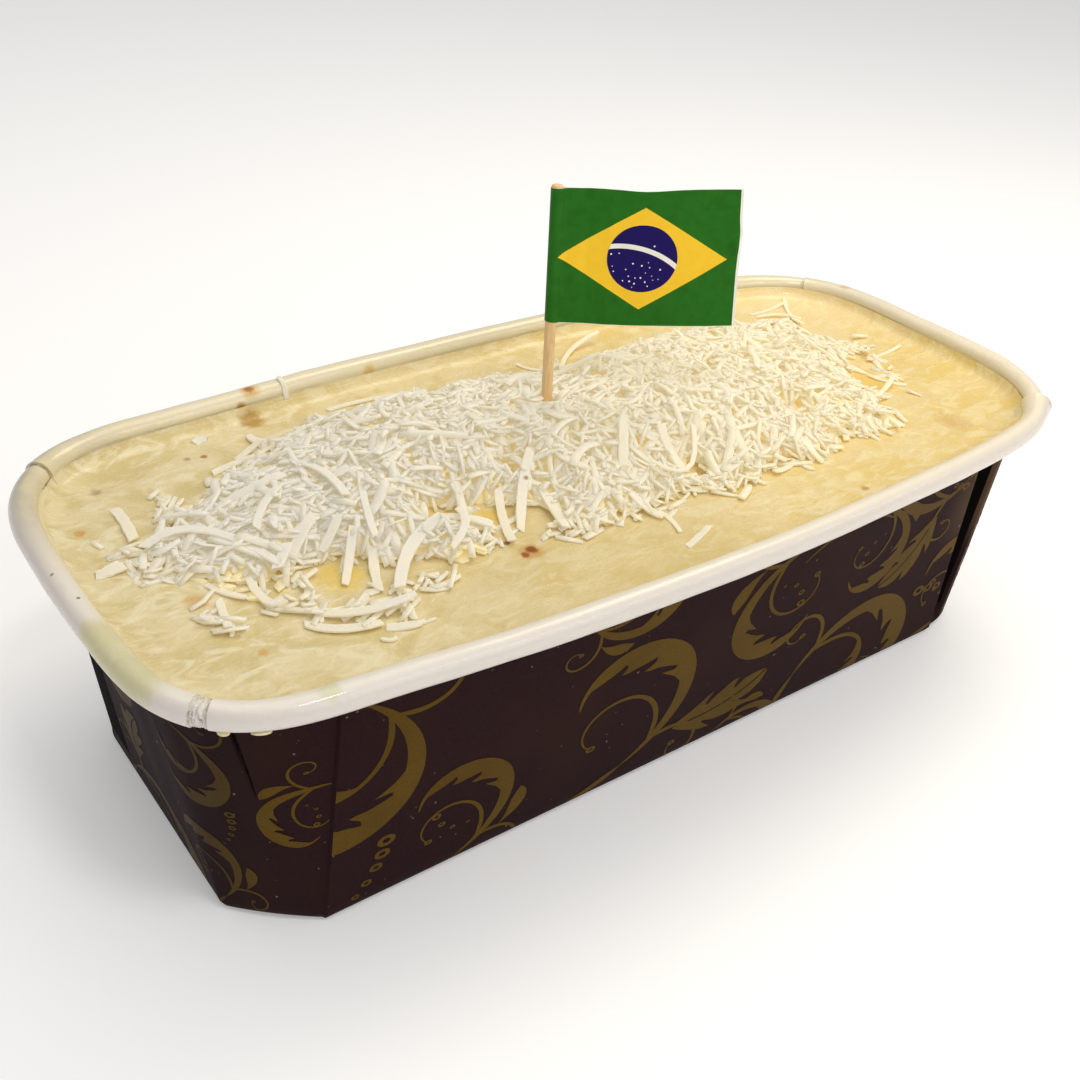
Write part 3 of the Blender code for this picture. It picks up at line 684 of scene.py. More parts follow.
def glazed_paper(name, crease_shade):
    """White glazed paper: a soft shine, smears of custard inside, a stain, a few specks, painted light
    and shade.
    """
    paper = Finish(name, Coat_Weight=0.6, Coat_Roughness=0.12)
    # Painted warm light: warmer and lighter towards the right end.
    warm_light_share = paper.axis("X").step(-60.0, 100.0)
    colour = paper.mix(warm_light_share, (234, 226, 213), (248, 236, 210))
    # Darker and yellower towards the back: custard film there, and painted shade.
    away = paper.axis("Y").step(-25.0, 42.0)
    colour = paper.mix(away * 0.6, colour, (222, 212, 190))
    # Painted shade: the back left corner of the rim is darker.
    corner = paper.axis("X").step(-60.0, -100.0) * paper.axis("Y").step(0.0, 36.0)
    colour = paper.mix(corner * 0.85, colour, (180, 168, 142))
    grain = paper.noise(0.35, 3.0, 0.6)
    colour = paper.mix(grain.step(0.45, 0.8) * 0.35, colour, (226, 214, 192))
    under, film = (paper.node("Attribute", {"attribute_name": of}, {}, "Fac")
                   for of in ("under", "film"))
    # Painted shade: cooler and darker under the roll's outer side.
    colour = paper.mix(under * 0.6, colour, (216, 208, 204))
    film = (film + (paper.noise(0.22, 3.0, 0.6) - 0.5) * 0.7).step(0.1, 0.9)
    colour = paper.mix(film * 0.85, colour, (234, 221, 176))
    for place, out, up, radius, shade, strength in (
        (7.94, 1.4, 1.4, 7.5, (205, 198, 140), 0.75),
        (8.12, 1.0, 1.6, 7.5, (198, 192, 130), 0.7),
        (5.85, -0.9, 2.0, 2.4, (214, 168, 70), 0.75),
        (5.85, -0.5, 2.2, 1.3, (172, 108, 0), 1.0),
        (5.87, -2.2, -0.6, 1.7, (180, 120, 0), 0.9),
        (5.66, -2.0, 0.2, 2.0, (216, 174, 76), 0.7),
        (4.24, 0.6, 2.2, 2.0, (226, 176, 90), 0.8),
        (7.35, 0.8, 2.0, 0.5, (120, 112, 100), 0.9),
        (7.6, -0.4, 2.2, 0.45, (110, 105, 95), 0.9),
        (0.975, 0.3, 2.2, 2.4, (206, 206, 150), 0.55),
        # Painted shade: the shaded underside of the curled roll end at the front right seam.
        (2.40, 2.2, 0.9, 1.7, (140, 152, 134), 0.95),
    ):
        mark = paper.near(on_rim(place, out, up), radius, radius * 0.5)
        colour = paper.mix(mark * strength, colour, shade)
    # Grey mottling where the paper is crumpled: painted shade in its creases.
    paper.feed("Base Color", paper.mix(grain.step(0.3, 0.6) * crease_shade, colour, (168, 164, 154)))
    paper.feed("Roughness", 0.42 - film * 0.22 + grain * 0.06)
    streaks = paper.noise(0.8, 3.0, 0.6)
    paper.feed("Normal", paper.bump(streaks + film * 1.4, 0.16, 0.6))
    return paper.material


def mark_film(thing):
    """Marks how much custard film each rim point carries and how far under the roll it is, for painted
    shade.
    """
    points = np.empty(len(thing.data.vertices) * 3)
    thing.data.vertices.foreach_get("co", points)
    points = points.reshape(-1, 3) / MM
    where = rim_distance(points[:, :2])
    low = np.clip((FILM_TOP - points[:, 2]) / 3.0, 0.0, 1.2)
    inner = np.where(where < -0.2, low * np.clip(-where / 1.5, 0.0, 1.0), 0.0)
    crest = 0.35 * np.clip((0.2 - where) / 1.2, 0.0, 1.0)
    over = 0.6 * np.interp(points[:, 1], (5, 35), (0, 1)) * np.clip((1.4 - where) / 1.5, 0.0, 1.0)
    film, under = np.max([inner, crest, over], 0), np.clip((where - 0.5) / 1.2, 0.0, 1.0)
    for name, values in (("film", film), ("under", under)):
        thing.data.attributes.new(name, "FLOAT", "POINT").data.foreach_set("value", values)


def rim_distance(points):
    """How far points stand outside the rim's middle line, in plan; inside is negative."""
    found = np.empty(len(points))
    for start in range(0, len(points), 4000):
        chunk = points[start : start + 4000]
        gap = chunk[:, None] - pan.rim[None]
        nearest = (gap ** 2).sum(2).argmin(1)
        gap = gap[np.arange(len(chunk)), nearest]
        found[start : start + 4000] = (gap * pan.outward[nearest]).sum(1)
    return found


glazed = glazed_paper("glazed_paper", 0.0)
wrinkled = glazed_paper("wrinkled_paper", 0.35)
for name, ends in zip(("front", "right", "back", "left"), ROLL_ENDS):
    roll = piece(f"rim_roll_{name}", *rolled_paper(*ends), glazed, crease=50.0)
    mark_film(roll)
for name, seam, reach in SEAMS:
    core = piece(f"rim_seam_{name}", *crumple(seam, reach), wrinkled, crease=60.0)
    mark_film(core)


# The cake: a moist custard-like coconut batter, baked to a smooth, glossy, pale yellow skin. It has
# blotches of yellow syrup and pale flakes just under the skin, and a thin film creeps up the rim.
CAKE_LEVEL = 52.75
CAKE_SIDE = 3.55
MENISCUS = 2.5
CONTACT_INSET, CONTACT_MORE = 2.25, 0.4
CRATER = (-85.5, 31.2)
CAKE_ON_WALL = ((PAPER + 0.3, 2.2), (8.0, 0.7), (30.0, 0.7), (48.0, 0.7), (51.0, 0.7))
CAKE_AT_RIM = ((52.3, CAKE_SIDE), (52.9, 3.35))
DRIPS = ((0.59, 0.95, 0.55), (0.745, 1.5, 0.25))
DRIP_DEPTH = 0.6
DRIP_SPOT = (1.35, -1.9)


def skin(x, y, wall_gap):
    """Height of the cake's top: noise of four sizes that fades out at the wall, and a crater.

    At the wall the skin rises by an exponential of the gap.
    """
    slow = 0.22 * lattice(x, y, 17.0, 31) + 0.12 * lattice(x, y, 6.0, 32)
    small = 0.08 * lattice(x, y, 2.4, 33) + 0.04 * lattice(x, y, 1.1, 34)
    crater = -0.5 * np.exp(-((x - CRATER[0]) ** 2 / 5.0 + (y - CRATER[1]) ** 2 / 3.0))
    edge = MENISCUS * np.exp(-wall_gap / 1.1)
    return CAKE_LEVEL + (slow + small) * np.clip(wall_gap / 3.0, 0.0, 1.0) + crater + edge


contact_inset = CONTACT_INSET + CONTACT_MORE * np.clip(pan.outward @ (1.0, 1.3), 0.0, 1.0)
contact = pan.rim - pan.outward * contact_inset[:, None]
sizes = np.concatenate([1 - np.geomspace(0.0006, 0.12, 34) + 0.0006, np.linspace(0.873, 0.012, 72)])
top = contact[None] * sizes[:, None, None]
wall_gap = (1 - sizes)[:, None] * np.linalg.norm(contact, axis=1)[None]
wall_gap *= np.abs((contact * pan.outward).sum(1) / np.linalg.norm(contact, axis=1))[None]
height = skin(top[..., 0], top[..., 1], wall_gap)
top = np.concatenate([top, height[..., None]], -1)
below = [pan.wall(pan.places, level, -PAPER - gap) for level, gap in CAKE_ON_WALL]
below += [np.column_stack([pan.rim - pan.outward * inset, np.full(len(pan.rim), level)])
          for level, inset in CAKE_AT_RIM]
cake_rows = np.concatenate([np.stack(below), top])


def custard():
    """Pale yellow custard skin: blotches, flakes under the skin, baked specks, a wet shine, painted
    light and shade.
    """
    batter = Finish("custard", Coat_Weight=0.3, Coat_Roughness=0.12, Specular_IOR_Level=0.35)
    # Painted warm light: warmer towards the right end.
    warm_light_share = batter.axis("X").step(-90.0, 95.0)
    pale = batter.mix(warm_light_share, (226, 210, 164), (238, 212, 146))
    syrup = batter.mix(warm_light_share, (212, 193, 136), (236, 206, 122))
    cream = batter.mix(warm_light_share, (237, 225, 188), (246, 228, 170))
    swirl = batter.noise(0.07, 4.0, 0.6, 1.4)
    colour = batter.mix(swirl.step(0.42, 0.62), pale, syrup)
    flakes = batter.noise(0.2, 3.0, 0.6, 1.2, batter.stretched(0.7, 1.3, 1.0))
    colour = batter.mix(flakes.step(0.46, 0.66) * 0.8, colour, cream)
    streaks = batter.noise(0.8, 3.0, 0.7, 0.8, batter.stretched(0.55, 1.4, 1.0))
    colour = batter.mix(streaks.step(0.54, 0.74) * 0.5, colour, cream)
    fine = batter.noise(1.6, 3.0, 0.6)
    colour = batter.mix(fine.step(0.5, 0.8) * 0.3, colour, syrup)
    for x, y, radius, shade, strength in (
        # The first mark is painted shade over the front, the second painted light at the back right.
        (-22.0, -34.0, 48.0, (206, 186, 130), 0.4), (78.0, 34.0, 40.0, (252, 231, 180), 0.45),
        (-30.3, -23.2, 3.0, (196, 138, 60), 0.6), (-29.9, -22.9, 1.5, (140, 70, 0), 1.0),
        (-31.6, -23.6, 1.1, (156, 80, 0), 0.95), (-32.5, -19.2, 0.9, (140, 74, 28), 0.9),
        (-51.0, 41.4, 3.4, (172, 128, 16), 0.85), (-64.5, 32.9, 0.9, (176, 110, 50), 0.9),
        (-67.5, 33.6, 1.0, (176, 152, 104), 0.8),
        (37.3, -37.9, 1.2, (190, 130, 60), 0.8), (-85.7, 39.2, 1.5, (200, 140, 60), 0.8),
        (-92.4, 19.7, 1.4, (206, 150, 60), 0.8), (75.1, -28.7, 5.0, (218, 178, 106), 0.6),
        (72.5, -7.9, 8.0, (240, 200, 96), 0.75), (-61.4, -13.2, 6.0, (226, 196, 96), 0.8),
        (-38.5, -7.3, 5.0, (222, 188, 90), 0.8), (-30.9, -11.7, 5.0, (226, 190, 84), 0.8),
        (-20.0, -2.3, 4.0, (220, 186, 90), 0.8), (-85.5, 31.2, 1.6, (150, 130, 92), 0.7),
        (-84.0, -8.0, 2.6, (206, 160, 84), 0.6), (-80.5, -24.5, 1.2, (206, 160, 84), 0.7),
    ):
        mark = batter.near((x, y, CAKE_LEVEL), radius, radius * 0.7, 0.8)
        colour = batter.mix(mark * strength, colour, shade)
    batter.feed("Base Color", colour)
    batter.feed("Roughness", 0.22 + fine * 0.14)
    relief = flakes + streaks * 0.5 + fine * 0.3
    batter.feed("Normal", batter.bump(relief, 0.45, 0.6))
    return batter.material


def drip(place, half_length, half_height):
    """A drop of custard under the rim's outer edge: an ellipsoid that lies along the rim."""
    turn = np.linspace(0, 2 * np.pi, 20, endpoint=False)
    rise = np.linspace(-np.pi / 2, np.pi / 2, 12)[:, None]
    x, y = pan.rim_at(np.array([place]))[1][0]
    along, out = half_length * np.cos(turn) * np.cos(rise), DRIP_DEPTH * np.sin(turn) * np.cos(rise)
    up = half_height * np.sin(rise) + turn * 0
    about = np.stack([x * out - y * along, y * out + x * along, up], -1)
    points = np.array(on_rim(place, *DRIP_SPOT)) + about
    return points.reshape(-1, 3), grid_faces(*up.shape, True)


batter = custard()
cake_middles = (0, 0, CAKE_ON_WALL[0][0]), (0, 0, CAKE_LEVEL)
cake_object = piece("custard_cake", *closed_shell(cake_rows, *cake_middles), batter, crease=180.0)
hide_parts("cake")
drips_object = piece("custard_drips", *join([drip(*row) for row in DRIPS]), batter)


# The shredded coconut: flat white shreds, cut square at their ends, some bent, with short bits and
# crumbs among them. They lie loose in a long heap, and the skin shows through where it is thin.
HEAP_CENTRE = np.array([-3.0, 2.5])
HEAP_EDGE = np.array([
    (-97, 4), (-95, -8), (-86, -18), (-76, -28), (-63, -33), (-52, -28), (-41, -24), (-28, -26),
    (-19, -28), (-6, -26), (8, -27), (24, -27), (39, -27), (61, -25), (74, -15), (85, -2), (84, 12),
    (80, 24), (70, 31), (52, 32), (36, 31), (20, 30), (8, 30), (-14, 34), (-28, 35), (-37, 36),
    (-45, 35), (-54, 31), (-66, 25), (-84, 20),
])
HEAP_TOP = 8.2
HEAP_BOX = ((-100, -38), (90, 38))
HEAP_AT_PICK = (-4.5, 8.4, 1.4)
HEAP_HOLES = (
    # x, y, radius
    (-62.0, -14.5, 6.0), (-38.5, -7.3, 4.0), (-30.9, -11.7, 5.0), (-20.0, -2.3, 2.5), (-24, -16, 5.0),
    (-52, -20, 4.5), (72, -6, 4.0), (44, -12, 2.5), (12, -17, 3.0), (-30, -22, 4.5),
)
BARE_FRONT = ((-95, -85, -75, -60, -45, -30), (6, 0, -5, -10, -15, -20))
STREWN_DEEP, STREWN_COVER = 1.2, 0.75
STREWN = np.array([
    (-80.8, -3.3), (-78.5, -7.2), (-76.2, -11.8), (-74.7, -16.0), (-70.5, -17.5), (-69.0, -21.0),
    (-64.0, -23.8), (-56.0, -26.7), (-74.1, -7.3), (-68.3, -12.4), (-57.2, -22.3), (-51.5, -22.0),
    (-46.6, -23.6), (-84.0, -12.5), (-82.5, -17.0), (-61.0, -16.5), (-58.0, -28.5), (-52.5, -13.0),
    (-44.0, -15.0),
])
RIBBONS = (
    # x and y of one end, of the middle and of the other end, and the width
    (-64, 38, -62, 39, -61, 39, 2.4), (-85, 24, -85, 19, -86, 12, 2.1),
    (-95, 6, -93, 6, -90, 6, 2.4), (-86, 7, -77, 5, -70, -10, 2.1), (-70, 12, -64, 11, -59, 11, 2.1),
    (-54, 36, -54, 33, -53, 30, 1.7), (-57, 16, -54, 8, -54, -2, 1.8),
    (-36, 38, -27, 38, -17, 36, 1.2), (-39, -6, -36, -11, -33, -16, 1.9),
    (-70, -1, -67, 3, -62, 7, 1.6), (-68, -8, -64, -5, -61, -3, 2.2),
    (-71, -10, -69, -8, -67, -6, 2), (-62, -8, -60, -7, -57, -5, 1.7),
    (-49, 2, -52, -5, -54, -12, 1.3), (-54, -11, -56, -15, -58, -20, 1.8),
    (-42, -13, -49, -15, -56, -23, 2.3), (-36, -9, -39, -16, -44, -20, 1.5),
    (-72, -22, -68, -26, -62, -28, 1.9), (-69, -21, -63, -25, -55, -26, 1.9),
    (-62, -29, -60, -30, -57, -31, 2), (-57, -31, -56, -31, -54, -31, 0.6),
    (-75, -8, -75, -15, -73, -18, 1.5), (-81, -10, -82, -14, -83, -18, 1.5),
    (-81, -5, -79, -9, -77, -12, 1.2), (-56, -8, -59, -12, -62, -16, 1.6),
    (-64, -31, -63, -32, -62, -32, 0.9), (-60, 29, -57, 30, -54, 30, 1.6),
    (-66, 26, -62, 27, -58, 26, 1.4), (-22, 35, -24, 30, -26, 24, 1.3), (9, 37, 10, 34, 12, 32, 0.6),
    (16, 30, 23, 36, 32, 38, 1.1), (2, -7, -1, -11, -4, -15, 1.9), (-17, -4, -22, -9, -28, -17, 1.9),
    (-19, -10, -20, -16, -22, -22, 1.8), (-26, -7, -29, -13, -32, -20, 1.8),
    (-6, -20, -5, -24, -4, -27, 1.5), (9, -10, 8, -14, 8, -19, 1.9), (17, -10, 9, -19, 0, -18, 1),
    (36, -22, 36, -25, 37, -27, 1.3), (-6, -36, -3, -35, 2, -33, 1.4), (82, 1, 87, 1, 93, 2, 0.9),
    (88, 35, 83, 28, 80, 22, 1), (74, 32, 80, 32, 86, 33, 0.9), (59, -18, 61, -21, 61, -26, 0.9),
    (-3, -25, -3, -28, -4, -32, 1), (74, 30, 80, 28, 82, 23, 0.8),
)
RIBBON_THICK = 0.34
STUCK_ON_RIM = ((-3.6, -2.9), (-3.1, -1.6), (-2.7, -0.2), (-2.3, 1.0), (-1.8, 1.9), (-1.0, 2.5),
                (-0.1, 2.7), (0.7, 2.6))
STUCK_SIZE = (1.1, 0.3)
RIM_CLEAR = 4.6
FIELD_HALF = (104, 50)
FIELD_CELL = 0.5
SHRED_SEED = 23
SHRED_TRIES = 150
LAID_DEEP = 2.0
SHRED_THICK = (0.3, 0.5)
PICK_CLEAR, PICK_CLEAR_RADIUS = (-5.2, 7.4), 1.6


def heap_share(x, y):
    """0 in the middle of the heap, 1 on its edge and more beyond, by the edge's reach that way."""
    edge = HEAP_EDGE - HEAP_CENTRE
    angle = np.arctan2(edge[:, 1], edge[:, 0])
    order = np.argsort(angle)
    angle, reach = angle[order], np.linalg.norm(edge, axis=1)[order]
    dx, dy = x - HEAP_CENTRE[0], y - HEAP_CENTRE[1]
    found = np.interp(np.arctan2(dy, dx), angle, reach, period=2 * np.pi)
    return np.hypot(dx, dy) / found


def thinned(x, y, wider, depth):
    """1 over most of the heap and less by depth in its thin places, where the cake shows through."""
    found = np.ones(np.shape(x))
    for hole_x, hole_y, radius in HEAP_HOLES:
        off = ((x - hole_x) ** 2 + (y - hole_y) ** 2) / (wider * radius) ** 2
        found = found * (1 - depth * np.exp(-off ** 2))
    return found


field_x, field_y = (np.arange(-half, half, FIELD_CELL) for half in FIELD_HALF)
ground_x, ground_y = np.meshgrid(field_x, field_y, indexing="ij")
share = heap_share(ground_x, ground_y)
mound = np.clip(1 - share ** 2.0, 0.0, 1.0)
lumps = 0.8 * lattice(ground_x, ground_y, 9.0, 41) + 0.4 * lattice(ground_x, ground_y, 4.0, 42)
slope = 1 - np.interp(ground_y, (-25, -8), (0.55, 0.0)) * np.interp(ground_x, (5, 35), (1.0, 0.2))
slope *= np.interp(ground_x, (-90, -55), (0.55, 1.0)) * thinned(ground_x, ground_y, 1.8, 0.75)
pick_x, pick_y, pick_rise = HEAP_AT_PICK
at_pick = pick_rise * np.exp(-((ground_x - pick_x) ** 2 + (ground_y - pick_y) ** 2) / 40.0)
target = np.clip((HEAP_TOP * mound ** 0.9 + lumps * mound ** 0.5) * slope + at_pick, 0.0, None)
cover = (1.04 - share) / 0.24 + 0.5 * lattice(ground_x, ground_y, 6.0, 45)
cover = np.clip(cover, 0.0, 1.0) * thinned(ground_x, ground_y, 1.0, 1.0)
bare = np.clip((np.interp(ground_x, *BARE_FRONT) - ground_y) / 5.0, 0.0, 1.0)
bare = bare * np.interp(ground_x, (-38, -20), (1, 0))
cover = cover * (1 - 0.92 * bare)
off = ((ground_x[..., None] - STREWN[:, 0]) ** 2 + (ground_y[..., None] - STREWN[:, 1]) ** 2).min(-1)
strewn = np.exp(-off / 6.0)
target, cover = np.maximum(target, STREWN_DEEP * strewn), np.maximum(cover, STREWN_COVER * strewn)
packed = np.clip(target - LAID_DEEP, 0.0, None)
surface = CAKE_LEVEL + packed


def cell_of(x, y):
    """Cells of the height field under points."""
    i = np.clip(((x - field_x[0]) / FIELD_CELL).astype(int), 1, len(field_x) - 2)
    j = np.clip(((y - field_y[0]) / FIELD_CELL).astype(int), 1, len(field_y) - 2)
    return i, j


def settle(plan, width, thick, unrest, rng):
    """A shred's middle line where it comes to rest on the heap, which it then adds to.

    It is the parabola through the heights under it, its bow held small, lifted by about half of what
    stands through it. It never sinks into the cake, and chance lifts and bends up one of its ends.
    """
    way = np.linspace(-0.5, 0.5, len(plan))
    length = np.linalg.norm(np.diff(plan, axis=0), axis=1).sum()
    under = surface[cell_of(plan[:, 0], plan[:, 1])]
    bow, slope, level = np.polyfit(way * length, under, 2)
    middle = level + slope * way * length + np.clip(bow, -0.03, 0.03) * (way * length) ** 2
    middle = middle + 0.55 * (under - middle).max() + thick * 0.4
    middle = np.maximum(middle, CAKE_LEVEL + thick * 0.3)
    middle = middle + rng.uniform(0, 1) ** 6 * 0.15 * length * (way + 0.5) ** 2
    middle = middle + np.abs(rng.normal(0, unrest)) * 0.5 * length * (way + 0.5)
    dense = np.linspace(0, len(plan) - 1, int(length / FIELD_CELL) + 2)
    x, y, z = (np.interp(dense, np.arange(len(plan)), column) for column in (*plan.T, middle))
    ahead = unit(plan[-1] - plan[0])
    for side in (-0.3, 0.3):
        i, j = cell_of(x - side * width * ahead[1], y + side * width * ahead[0])
        surface[i, j] = np.maximum(surface[i, j], z + thick / 2)
    return np.column_stack([plan, middle])


def lay_shreds(number, stations, lengths, widths, deep, over, unrest):
    """Drops shreds one by one where the heap is to be at least deep and isn't yet full.

    Gives the middle line (number, stations, 3), roll, width and thickness of each.
    """
    rng = np.random.default_rng(SHRED_SEED + number)
    lines, rolls, sizes = [], [], []
    way = np.linspace(-0.5, 0.5, stations)
    for _ in range(SHRED_TRIES * number):
        if len(lines) == number:
            break
        spot = rng.uniform(*HEAP_BOX)
        i, j = cell_of(*spot)
        full = surface[i, j] - CAKE_LEVEL > target[i, j] + over
        if full or target[i, j] < deep or rng.uniform() > cover[i, j]:
            continue
        length = lengths[0] + (lengths[1] - lengths[0]) * rng.uniform() ** 2.2
        width = widths[0] + (widths[1] - widths[0]) * rng.uniform() ** 1.5
        thick = rng.uniform(*SHRED_THICK)
        turn = rng.uniform(0, 2 * math.pi) + rng.normal(0, 0.3) * length / 6 * way
        step = length / (stations - 1)
        plan = np.stack([np.cos(turn), np.sin(turn)], 1).cumsum(0) * step
        plan = plan - plan.mean(0) + spot
        i, j = cell_of(plan[:, 0], plan[:, 1])
        middle = plan[0] + (plan[-1] - plan[0]) * np.linspace(0.0, 1.0, 9)[:, None]
        at_pick = np.linalg.norm(middle - PICK_CLEAR, axis=1).min() < PICK_CLEAR_RADIUS
        at_rim = rim_distance(plan).max() > -RIM_CLEAR
        if rng.uniform() > cover[i[[0, -1]], j[[0, -1]]].min() * 1.6 or at_rim or at_pick:
            continue
        lines.append(settle(plan, width, thick, unrest, rng))
        rolls.append(rng.normal(0, unrest) if rng.uniform() < 0.92 else rng.normal(0, 0.7))
        sizes.append((width, thick))
    return np.array(lines), np.array(rolls), np.array(sizes), rng


def shred_mesh(lines, rolls, sizes, rng):
    """Flat bars along their middle lines, rolled and a little twisted, with square, torn ends."""
    number, stations, _ = lines.shape
    ahead = unit(np.gradient(lines, axis=1))
    side = unit(np.cross([0.0, 0.0, 1.0], ahead))
    up = np.cross(ahead, side)
    twist = rolls[:, None] + rng.normal(0, 0.12, number)[:, None] * np.linspace(-1, 1, stations)
    c, s = np.cos(twist)[..., None], np.sin(twist)[..., None]
    side, up = side * c + up * s, up * c - side * s
    narrow = rng.uniform(0.88, 1.05, (number, stations))
    narrow[:, 0] *= rng.uniform(0.7, 1.0, number)
    narrow[:, -1] *= rng.uniform(0.7, 1.0, number)
    half_width = (sizes[:, :1] / 2 * narrow)[..., None]
    half_thick = (sizes[:, 1:] / 2 * np.sqrt(narrow))[..., None]
    points = np.stack([lines + side * half_width * across + up * half_thick * rise
                       for across, rise in ((-1, -1), (1, -1), (0.86, 1), (-0.86, 1))], 2)
    skew = rng.uniform(-0.5, 0.5, (number, 2)) * sizes[:, :1]
    points[:, 0, 1:3] += ahead[:, 0, None] * skew[:, :1, None]
    points[:, -1, 1:3] += ahead[:, -1, None] * skew[:, 1:, None]
    ends = [(3, 2, 1, 0)], [(stations - 1) * 4 + np.arange(4)]
    faces = np.concatenate([grid_faces(stations, 4, True), *ends])
    faces = faces + (np.arange(number) * stations * 4)[:, None, None]
    return points.reshape(-1, 3), faces.reshape(-1, 4)


def coconut(name, cool, creamy, soak_and_bounce_light):
    """Coconut flesh: cool white to creamy by painted warm light; yellow where soaked and by painted
    bounce light.
    """
    flesh = Finish(name, Subsurface_Weight=0.7, Subsurface_Scale=0.0016,
                   Subsurface_Radius=(1.0, 0.9, 0.6), Specular_IOR_Level=0.25, Emission_Strength=0.2)
    # Painted warm light: creamier towards the right end.
    warm_light_share = flesh.axis("X").step(-70.0, 75.0)
    colour = flesh.mix(warm_light_share, cool, creamy)
    tone = flesh.noise(0.35, 2.0)
    colour = flesh.mix(tone.step(0.4, 0.75) * 0.4, colour, (218, 211, 192))
    # Yellower low in the heap: soaked in syrup, and painted light that bounces up from the yellow cake.
    low = flesh.axis("Z").step(56.0, 53.0) + (flesh.noise(0.3) - 0.5) * 0.7
    colour = flesh.mix(low.step(0.3, 1.0) * soak_and_bounce_light, colour, (236, 222, 176))
    for spot in ((-60.6, 3.5, 60.0), (-21.5, -9.0, 57.6), (-36.5, -1.5, 60.0), (35.0, -3.0, 61.0)):
        colour = flesh.mix(flesh.near(spot, 0.7, 0.6, 1.0) * 0.8, colour, (112, 60, 52))
    flesh.feed("Base Color", colour)
    # A faint yellowish glow: painted light in place of light that passes through the shreds.
    flesh.feed("Emission Color", flesh.mix(0.5, colour, (255, 231, 168)))
    grain = flesh.noise(1.6, 3.0, 0.65)
    flesh.feed("Roughness", 0.42 + grain * 0.2)
    flesh.feed("Normal", flesh.bump(grain, 0.1, 0.5))
    return flesh.material


dry = coconut("coconut_dry", (208, 206, 200), (234, 225, 198), 0.3)
# The deeper shreds and the core are yellower: soaked in syrup, and painted light from the cake below.
soaked = coconut("coconut_soaked", (232, 220, 178), (244, 222, 158), 0.7)
heap_parts = (
    # name, number, stations, lengths, widths, least depth, over the target, unrest, finish
    ("coconut_filling", 2200, 3, (1.8, 6.0), (0.9, 1.9), 1.6, -0.9, 0.15, soaked),
    ("coconut_shreds_low", 450, 6, (5.0, 12.0), (0.9, 1.8), 1.0, -0.5, 0.1, dry),
    ("coconut_bits", 2600, 3, (2.6, 7.5), (0.8, 1.7), 0.0, 0.0, 0.15, dry),
    ("coconut_shreds_top", 150, 6, (6.0, 13.0), (1.0, 1.8), 0.0, 0.2, 0.08, dry),
    ("coconut_crumbs", 1500, 3, (2.0, 5.5), (0.6, 1.3), 0.6, 0.4, 0.2, dry),
)
for name, number, stations, lengths, widths, deep, over, unrest, flesh in heap_parts:
    laid = lay_shreds(number, stations, lengths, widths, deep, over, unrest)
    shreds = piece(name, *shred_mesh(*laid), flesh, crease=100.0)

ribbon_lines = []
ribbon_rng = np.random.default_rng(SHRED_SEED)
s = np.linspace(0.0, 1.0, 8)[:, None]
for *spots, width in RIBBONS:
    first, middle, last = np.reshape(spots, (3, 2))
    plan = first * (1 - s) * (1 - 2 * s) + middle * 4 * s * (1 - s) + last * s * (2 * s - 1)
    ribbon_lines.append(settle(plan, width, RIBBON_THICK, 0.05, ribbon_rng))
ribbon_sizes = np.array([(width, RIBBON_THICK) for *_, width in RIBBONS])
ribbon_rolls = ribbon_rng.normal(0, 0.1, len(RIBBONS))
stuck_line = np.array([[on_rim(5.8, out, up) for out, up in STUCK_ON_RIM]])
stuck = shred_mesh(stuck_line, np.zeros(1), np.array([STUCK_SIZE]), ribbon_rng)
stuck_object = piece("coconut_on_rim", *stuck, dry, crease=60.0)
ribbons = shred_mesh(np.array(ribbon_lines), ribbon_rolls, ribbon_sizes, ribbon_rng)
ribbons_object = piece("coconut_ribbons", *ribbons, dry, crease=60.0)

core_x, core_y, core_packed = (field[::2, ::2] for field in (ground_x, ground_y, packed))
core_height = CAKE_LEVEL - 0.5 + core_packed + 0.25 * lattice(core_x, core_y, 1.6, 44)
core_points = np.stack([core_x, core_y, core_height], -1).reshape(-1, 3)
core_faces = grid_faces(*core_x.shape, False)
core_faces = core_faces[(core_packed > 0.15).ravel()[core_faces].any(1)]
used, renumbered = np.unique(core_faces, return_inverse=True)
core_object = piece("coconut_core", core_points[used], renumbered.reshape(-1, 4)[:, ::-1], soaked,
                    crease=180.0)
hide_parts("shredded_coconut")


# The pick: a round birch stick, cut blunt at its top and sharpened at its foot. It is pushed
# through the heap into the cake, and it carries the flag.
PICK_RADIUS = 1.05
PICK_LENGTH = 65.0
PICK_POINT = 7.0
PICK_FOOT = np.array([-4.5, 8.4, 60.6])
PICK_STANDS = 41.2
PICK_LEAN = (0.052, 0.104, 1.0)
pick_up = unit(np.array(PICK_LEAN))
pick_side = unit(np.cross([0.0, 1.0, 0.0], pick_up))
pick_front = np.cross(pick_up, pick_side)


def birch():
    """Pale birch with fine long grain."""
    wood = Finish("birch", Roughness=0.55)
    grain = wood.noise(2.6, 4.0, 0.7, 0.2, wood.stretched(1.0, 1.0, 0.06))
    colour = wood.mix(grain.step(0.3, 0.7), (230, 188, 130), (246, 212, 158))
    colour = wood.mix(wood.noise(0.25, 2.0).step(0.5, 0.75) * 0.4, colour, (206, 166, 112))
    wood.feed("Base Color", colour)
    wood.feed("Normal", wood.bump(grain, 0.08, 0.7))
    return wood.material


